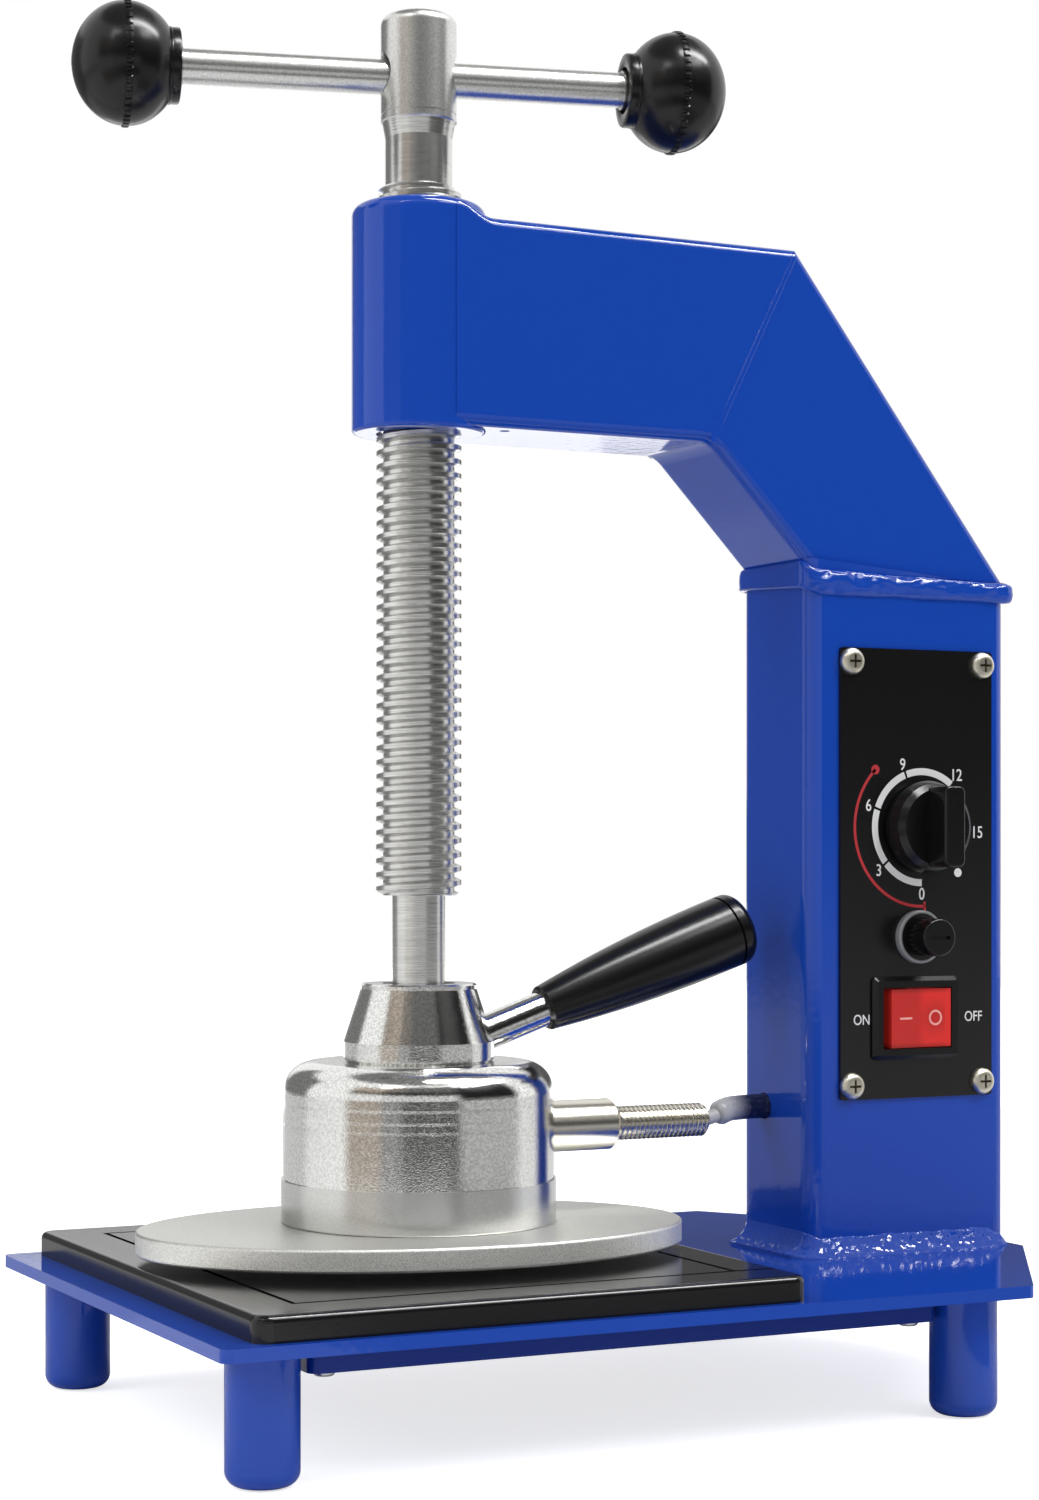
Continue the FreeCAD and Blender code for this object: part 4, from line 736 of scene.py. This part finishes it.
DASH = (3.0, 7.9)  # from and to, down the rocker's slope
DASH_HALF = 0.3
SLOPE_START = 0.4315  # where the left half's slope starts, from the rocker's middle
SLOPE = math.radians(9.0)


def round_points(centre, radius, steps):
    """Points of a circle, as x and z."""
    angles = [2 * math.pi * k / steps for k in range(steps)]
    return [(centre[0] + radius * math.cos(a), centre[1] + radius * math.sin(a)) for a in angles]


def on_dial(radius, degrees):
    """A point on the panel at this distance from the dial's centre, as x and z."""
    a = math.radians(degrees)
    return DIAL[0] + radius * math.cos(a), DIAL[1] + radius * math.sin(a)


def arc_band(name, radii, start, end, steps=48):
    """Part of a flat ring on the panel, in degrees from +X counter-clockwise seen from the front."""
    rings = []
    for i in range(steps + 1):
        degrees = start + (end - start) * i / steps
        (x0, z0), (x1, z1) = (on_dial(radius, degrees) for radius in radii)
        rings.append([(x0, PANEL_Y + PRINT_ROOT, z0), (x1, PANEL_Y + PRINT_ROOT, z1),
                      (x1, PANEL_Y - PRINT_LIFT, z1), (x0, PANEL_Y - PRINT_LIFT, z0)])
    return sweep(name, rings, 20.0)


def disc(name, centre, radius):
    """A round dot on the panel."""
    rings = [[(x, y, z) for x, z in round_points(centre, radius, 40)]
             for y in (PANEL_Y + PRINT_ROOT, PANEL_Y - PRINT_LIFT)]
    return sweep(name, rings, 20.0)


def lettering(name, text, centre, height):
    """A word or number as a thin raised shape on the panel."""
    curve = bpy.data.curves.new(name, "FONT")
    curve.body = text
    curve.size = 1.0
    curve.extrude = 0.01
    curve.offset = 0.006
    holder = bpy.data.objects.new(name, curve)
    bpy.context.scene.collection.objects.link(holder)
    bpy.context.view_layer.update()
    mesh = bpy.data.meshes.new_from_object(holder.evaluated_get(bpy.context.evaluated_depsgraph_get()))
    bpy.data.objects.remove(holder)
    bpy.data.curves.remove(curve)
    xs = [v.co.x for v in mesh.vertices]
    ys = [v.co.y for v in mesh.vertices]
    scale = height / (max(ys) - min(ys))
    middle_x, middle_y = (max(xs) + min(xs)) / 2, (max(ys) + min(ys)) / 2
    for v in mesh.vertices:
        x = centre[0] + (v.co.x - middle_x) * scale * LETTER_WIDTH
        y = PANEL_Y + PRINT_ROOT if v.co.z < 0 else PANEL_Y - PRINT_LIFT
        z = centre[1] + (v.co.y - middle_y) * scale
        v.co = Vector((x * MM, y * MM, z * MM))
    return bpy.data.objects.new(name, mesh)


class VULC_OT_dial_print(bpy.types.Operator):
    """Prints the timer's scale, its numbers and the switch's ON and OFF on the panel"""
    bl_idname = "vulc.dial_print"
    bl_label = "Panel print"

    def execute(self, context):
        mats = materials()
        number_height = context.scene.vulc_sizes.number_height / MM
        word_height = context.scene.vulc_sizes.word_height / MM
        white = []
        for low, high in zip(BANDED_TURNS, BANDED_TURNS[1:]):
            start_gap = BAND_GAP if low > BANDED_TURNS[0] else 0.0
            end_gap = BAND_GAP if high < BANDED_TURNS[-1] else 0.0
            white.append(arc_band("band", BAND, -90.0 - low - start_gap, -90.0 - high + end_gap))
        for text, turn in DIAL_TURN.items():
            radius = NUMBER_RADIUS if len(text) == 1 else LONG_NUMBER_RADIUS
            white.append(lettering("number", text, on_dial(radius, -90.0 - turn), number_height))
        dot_angle, dot_distance, dot_radius = LONE_DOT
        white.append(disc("dot", on_dial(dot_distance, dot_angle), dot_radius))
        white.append(lettering("on", "ON", (87.0, 108.6), word_height))
        white.append(lettering("off", "OFF", (127.5, 108.8), word_height))
        link(joined("panel_white_print", white), mats["white_ink"], "frame")

        start, end = RED_ARC
        red = [arc_band("arc", RED_BAND, start, end, steps=90),
               disc("arc_dot", on_dial(RED_RADIUS, start), 1.45),
               arc_band("arc_end", RED_END, end - 1.4, end + 0.4, steps=4)]
        link(joined("panel_red_print", red), mats["red_ink"], "frame")
        return {"FINISHED"}


class VULC_OT_rocker_marks(bpy.types.Operator):
    """Marks the rocker's two halves with a dash and a ring"""
    bl_idname = "vulc.rocker_marks"
    bl_label = "Rocker marks"

    def execute(self, context):
        x, z = SWITCH
        face = PANEL_Y - ROCKER_HEIGHT
        inner, outer = (round_points((x + MARK_OFFSET, z), radius, 48) for radius in RING)
        rings = [[(ix, face + MARK_SINK, iz), (ox, face + MARK_SINK, oz),
                  (ox, face - PRINT_LIFT, oz), (ix, face - PRINT_LIFT, iz)]
                 for (ix, iz), (ox, oz) in zip(inner, outer)]
        ring = sweep("ring", rings, 30.0, closed=True)

        corners = []
        for distance in DASH:
            base_x = x + SLOPE_START - math.cos(SLOPE) * distance
            base_y = face - math.sin(SLOPE) * distance
            for level in (z - DASH_HALF, z + DASH_HALF):
                corners += [(base_x - math.sin(SLOPE) * lift, base_y - math.cos(SLOPE) * lift, level)
                            for lift in (-MARK_SINK, PRINT_LIFT)]
        faces = [(0, 1, 3, 2), (4, 6, 7, 5), (0, 4, 5, 1), (2, 3, 7, 6), (1, 5, 7, 3), (0, 2, 6, 4)]
        dash = mesh_object("dash", corners, faces, 20.0)
        link(joined("rocker_marks", [ring, dash]), materials()["pink_ink"], "power_rocker")
        return {"FINISHED"}


# Heater lead

CONDUIT_Z = 78.75
LEAD_RISE = 2.6
LEAD_SIDE = 6.0  # towards the column's back
LEAD_RADIUS = 2.1
SLEEVE_RADIUS = 3.7
SLEEVE_START = 49.4
SLEEVE_LIP = 1.2  # length of its rounded end
SIDE_EASE = (45.0, 68.0)  # the lead moves to the side between these
RISE_EASE = (44.0, 56.0)  # and rises between these


def eased(value, low, high):
    """A smooth way from 0 to 1 between two values."""
    t = min(1.0, max(0.0, (value - low) / (high - low)))
    return t * t * (3 - 2 * t)


def lead_path(start, end, count):
    """Points of the lead's middle line between two places along X."""
    xs = [start + (end - start) * i / count for i in range(count + 1)]
    return [(x, LEAD_SIDE * eased(x, *SIDE_EASE), CONDUIT_Z + LEAD_RISE * eased(x, *RISE_EASE)) for x in xs]


class VULC_OT_lead(bpy.types.Operator):
    """Makes the heater's lead and its sleeve, which curve from the head to the column"""
    bl_idname = "vulc.lead"
    bl_label = "Heater lead"

    def execute(self, context):
        mats = materials()
        points = lead_path(33.0, 85.0, 70)
        core = sweep("lead_core", tube_rings(points, [LEAD_RADIUS] * len(points), 20), 60.0)
        points = lead_path(SLEEVE_START, 73.5, 50)
        lips = [max(0.0, 1.0 - (x - SLEEVE_START) / SLEEVE_LIP) for x, _, _ in points]
        radii = [SLEEVE_RADIUS - 0.9 * lip for lip in lips]
        sleeve = sweep("lead_sleeve_tube", tube_rings(points, radii, 24), 60.0)
        for obj, slot, node in ((core, "lead_core", "heater_lead"), (sleeve, "lead_sleeve", "lead_sleeve")):
            bpy.context.scene.collection.objects.link(obj)
            obj.data.materials.append(mats[slot])
            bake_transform(obj)
            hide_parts(node)
        return {"FINISHED"}


# Stage

CAMERA_TURN = 26.25  # degrees between the view and the panel's normal
VIEW_AZIMUTH = 270.0 - CAMERA_TURN  # direction from the machine to the camera, from +X
CAMERA_PLACE = (-0.38923, -0.75510, 0.15816)
LAMP_AIM = 0.2  # height that the lamps point at
FLOOR_HALF = 3000.0  # half its width, in millimetres like its level
FLOOR_LEVEL = -0.2
CARD_COLUMNS = 12
TAN = (0.50, 0.43, 0.36)
BROWN = (0.20, 0.175, 0.15)

# Studio cards: sides in degrees from the camera, distance, and shades by height. With near, a card's foot also
# lies on the floor from that distance. Uneven is how strong the dark patches near its foot are.
FLAGS = (
    {"name": "flag_front_middle", "low": -31, "high": -14, "distance": 0.92, "near": 0.52, "uneven": 0.50,
     "stops": ((0.0, 0.30), (0.05, 0.30), (0.08, 0.72), (0.34, 0.70), (0.39, 0.05), (0.56, 0.05),
               (0.62, BROWN), (1.1, BROWN))},
    {"name": "flag_front", "low": -14, "high": 33, "distance": 0.94, "near": 0.52, "uneven": 0.70,
     "stops": ((0.0, 0.08), (0.05, 0.08), (0.08, 0.66), (0.34, 0.64), (0.39, 0.04), (0.56, 0.04),
               (0.62, 0.15), (1.1, 0.15))},
    {"name": "flag_front_left", "low": -60, "high": -31, "distance": 0.95, "near": 0.52, "uneven": 0.35,
     "stops": ((0.0, TAN), (0.06, TAN), (0.10, 0.90), (0.34, 0.90), (0.42, BROWN), (0.56, BROWN),
               (0.62, TAN), (0.9, TAN))},
    {"name": "flag_front_right", "low": 33, "high": 92, "distance": 1.20, "near": 0.46,
     "stops": ((0.0, 0.50), (0.04, 0.50), (0.20, 0.015), (1.3, 0.015))},
    {"name": "floor_right_dark", "low": 20, "high": 80, "distance": 0.46, "near": 0.20,
     "stops": ((0.0, 0.28), (0.001, 0.28))},
    {"name": "flag_back_left", "low": -152, "high": -104, "distance": 1.30, "near": 0.22,
     "stops": ((0.0, 0.62), (0.03, 0.62), (0.07, 0.20), (1.0, 0.20))},
    {"name": "flag_back_right", "low": 146, "high": 178, "distance": 1.30,
     "stops": ((0.10, 0.8), (0.14, 0.10), (0.50, 0.10), (0.60, 0.8))},
    {"name": "flag_back_low", "low": 178, "high": 216, "distance": 1.30,
     "stops": ((0.12, 0.20), (0.19, 0.20), (0.205, 0.9))},
    {"name": "floor_back_bright", "low": 152, "high": 208, "distance": 2.6, "near": 1.0, "strength": 2.2,
     "stops": ((0.0, 1.0), (0.001, 1.0))},
    {"name": "flag_above", "low": 0, "high": 360, "distance": 1.1, "near": 0.001,
     "stops": ((1.72, 0.22), (1.721, 0.22))},
)
GLOWS = (
    {"name": "edge_strip", "centre": (0.69, -0.55, 1.60), "size": (1.5, 0.26), "aim": (0.69, -0.55, 0.0),
     "strength": 30.0},
    {"name": "ball_light_left", "centre": (-0.95, -0.75, 1.25), "size": (0.34, 0.40), "aim": (0, 0, 0.38),
     "strength": 9.0},
)
# Lamps: name, place, aim, size and watts; only the right one shows in reflections
LAMPS = (
    ("left_soft_box", (-1.40, 0.10, 1.05), (-0.02, 0, LAMP_AIM), (0.8, 0.9), 9.5),
    ("right_soft_box", (0.80, -1.20, 1.50), (0.03, 0, LAMP_AIM), (0.8, 0.8), 14.5),
    ("top_soft_box", (-0.1, 0.25, 1.65), (0, 0, LAMP_AIM), (1.2, 1.2), 6.0),
)


def aimed(place, aim):
    """The turn that points an object's -Z from its place at the aim."""
    return (Vector(aim) - Vector(place)).to_track_quat("-Z", "Y").to_euler()


def set_up_card(card, mat):
    """Gives a studio card its material and shows it to reflections only."""
    card.data.materials.append(mat)
    card.visible_camera = False
    card.visible_diffuse = False
    card.visible_shadow = False
    card.visible_transmission = False
    bpy.context.scene.collection.objects.link(card)


def flag(name, low, high, distance, stops, uneven=0.0, near=None, strength=1.0):
    """A card bent round the machine, which stands up from its lowest stop to its highest."""
    sides = [low + (high - low) * k / CARD_COLUMNS for k in range(CARD_COLUMNS + 1)]
    angles = [math.radians(VIEW_AZIMUTH + side) for side in sides]
    columns = [(math.cos(a) / MM, math.sin(a) / MM) for a in angles]
    bottom, top = stops[0][0], stops[-1][0]
    rows = [(distance, bottom), (distance, top)]
    if near:
        rows.insert(0, (near, bottom))
    verts = [(far * x, far * y, level / MM + 1.0) for far, level in rows for x, y in columns]
    count = len(columns)
    faces = [(count * r + k, count * r + k + 1, count * (r + 1) + k + 1, count * (r + 1) + k)
             for r in range(len(rows) - 1) for k in range(CARD_COLUMNS)]
    mat, tree, shader = new_material(name)
    place = add(tree, "ShaderNodeTexCoord").outputs["Object"]
    height = add(tree, "ShaderNodeSeparateXYZ", {0: place}).outputs[2]
    ramp = add(tree, "ShaderNodeValToRGB", {0: spread(tree, height, bottom, top)})
    elements = ramp.color_ramp.elements
    while len(elements) < len(stops):
        elements.new(0.5)
    for element, (level, shade) in zip(elements, stops):
        element.position = (level - bottom) / (top - bottom)
        element.color = rgba(*shade) if isinstance(shade, tuple) else rgba(shade, shade, shade)
    colour = ramp.outputs[0]
    if uneven:
        flat = add(tree, "ShaderNodeMapping", {"Vector": place, "Scale": (9.0, 9.0, 1.6)}).outputs[0]
        patches = add(tree, "ShaderNodeTexNoise", {"Vector": flat, "Scale": 1.0, "Detail": 5.0,
                                                   "Roughness": 0.7}).outputs[0]
        near_foot = maths(tree, "MULTIPLY", spread(tree, height, 0.07, 0.05), uneven)
        patches = maths(tree, "MULTIPLY", spread(tree, patches, 0.40, 0.62), near_foot)
        colour = mixed(tree, patches, colour, rgba(0.004, 0.004, 0.004))
    fill(tree, shader, {"Base Color": rgba(0, 0, 0), "Roughness": 1.0, "Specular IOR Level": 0.0,
                        "Emission Color": colour, "Emission Strength": strength})
    set_up_card(mesh_object(name, verts, faces), mat)


def glow(name, centre, size, aim, strength):
    """A bright strip for the highlights on rounded edges."""
    x, y = size[0] / 2 / MM, size[1] / 2 / MM
    card = mesh_object(name, [(-x, -y, 0.0), (x, -y, 0.0), (x, y, 0.0), (-x, y, 0.0)], [(0, 1, 2, 3)])
    card.location = centre
    card.rotation_euler = aimed(centre, aim)
    mat, tree, shader = new_material(name)
    fill(tree, shader, {"Base Color": rgba(0, 0, 0), "Specular IOR Level": 0.0,
                        "Emission Color": rgba(1, 1, 1), "Emission Strength": strength})
    set_up_card(card, mat)


def make_surround(scene):
    """A world that lights the machine at half strength, but is white to the camera and in reflections."""
    world = bpy.data.worlds.new("surround")
    scene.world = world
    world.use_nodes = True
    tree = world.node_tree
    tree.nodes.clear()
    light, white = (add(tree, "ShaderNodeBackground", {"Color": rgba(1, 1, 1), "Strength": strength})
                    for strength in (0.50, 1.0))
    path = add(tree, "ShaderNodeLightPath").outputs
    seen = maths(tree, "ADD", path["Is Camera Ray"], path["Is Transmission Ray"])
    seen = add(tree, "ShaderNodeMath", {0: seen, 1: path["Is Glossy Ray"]}, operation="ADD", use_clamp=True)
    mix = add(tree, "ShaderNodeMixShader", {0: seen.outputs[0], 1: light.outputs[0], 2: white.outputs[0]})
    add(tree, "ShaderNodeOutputWorld", {"Surface": mix.outputs[0]})


def make_floor(scene):
    """A pale floor that keeps the machine's shadow and looks white around it."""
    half, level = FLOOR_HALF, FLOOR_LEVEL
    corners = [(-half, -half, level), (half, -half, level), (half, half, level), (-half, half, level)]
    floor = mesh_object("floor", corners, [(0, 1, 2, 3)])
    scene.collection.objects.link(floor)
    mat, tree, shader = new_material("floor_white")
    camera_ray = add(tree, "ShaderNodeLightPath").outputs["Is Camera Ray"]
    fill(tree, shader, {"Base Color": rgba(0.80, 0.80, 0.80), "Roughness": 0.9,
                        "Emission Color": rgba(1, 1, 1),
                        "Emission Strength": maths(tree, "MULTIPLY", camera_ray, 0.72)})
    floor.data.materials.append(mat)


def make_lamps(scene):
    for name, place, aim, size, watts in LAMPS:
        data = bpy.data.lights.new(name, "AREA")
        data.shape = "RECTANGLE"
        data.size, data.size_y = size
        data.energy = watts
        lamp = bpy.data.objects.new(name, data)
        lamp.location = place
        lamp.rotation_euler = aimed(place, aim)
        lamp.visible_glossy = name == "right_soft_box"
        scene.collection.objects.link(lamp)


def make_camera(scene):
    """The camera that was fitted to the photograph."""
    data = bpy.data.cameras.new("camera")
    data.sensor_fit = "VERTICAL"
    data.sensor_height = 36.0
    data.lens = 69.46
    data.shift_y = 0.0698
    data.clip_start = 0.05
    data.clip_end = 20.0
    camera = bpy.data.objects.new("camera", data)
    camera.location = CAMERA_PLACE
    camera.rotation_euler = (math.radians(90), 0.0, math.radians(-CAMERA_TURN))
    scene.collection.objects.link(camera)
    scene.camera = camera


class VULC_OT_stage(bpy.types.Operator):
    """Makes the pale floor, the soft lamps, the white surround and the camera of the photograph"""
    bl_idname = "vulc.stage"
    bl_label = "Stage"

    def execute(self, context):
        scene = context.scene
        scene.view_settings.view_transform = "Standard"
        make_surround(scene)
        make_floor(scene)
        for values in FLAGS:
            flag(**values)
        for values in GLOWS:
            glow(**values)
        make_lamps(scene)
        make_camera(scene)
        return {"FINISHED"}


class VULC_PT_panel(bpy.types.Panel):
    """Lists the operators that dress the machine"""
    bl_idname = "VULC_PT_panel"
    bl_label = "Vulcanizer"
    bl_space_type = "VIEW_3D"
    bl_region_type = "UI"
    bl_category = "Vulcanizer"

    def draw(self, context):
        for prop_group in (context.scene.vulc_paint, context.scene.vulc_sizes):
            for prop in prop_group.bl_rna.properties:
                if prop.identifier not in {"rna_type", "name"}:
                    self.layout.prop(prop_group, prop.identifier)
        for operator in OPERATORS:
            self.layout.operator(operator.bl_idname)


SETTINGS = (VULC_paint_settings, VULC_size_settings)
OPERATORS = (VULC_OT_finishes, VULC_OT_balls, VULC_OT_welds, VULC_OT_dial_print, VULC_OT_rocker_marks,
             VULC_OT_lead, VULC_OT_stage)


def register():
    for cls in SETTINGS + OPERATORS + (VULC_PT_panel,):
        bpy.utils.register_class(cls)
    bpy.types.Scene.vulc_paint = PointerProperty(type=VULC_paint_settings)
    bpy.types.Scene.vulc_sizes = PointerProperty(type=VULC_size_settings)


def unregister():
    del bpy.types.Scene.vulc_paint
    del bpy.types.Scene.vulc_sizes
    for cls in reversed(SETTINGS + OPERATORS + (VULC_PT_panel,)):
        bpy.utils.unregister_class(cls)


def main():
    register()
    bpy.ops.vulc.finishes()
    bpy.ops.vulc.balls()
    bpy.ops.vulc.welds()
    bpy.ops.vulc.dial_print()
    bpy.ops.vulc.rocker_marks()
    bpy.ops.vulc.lead()
    bpy.ops.vulc.stage()


if __name__ == "__main__":
    main()
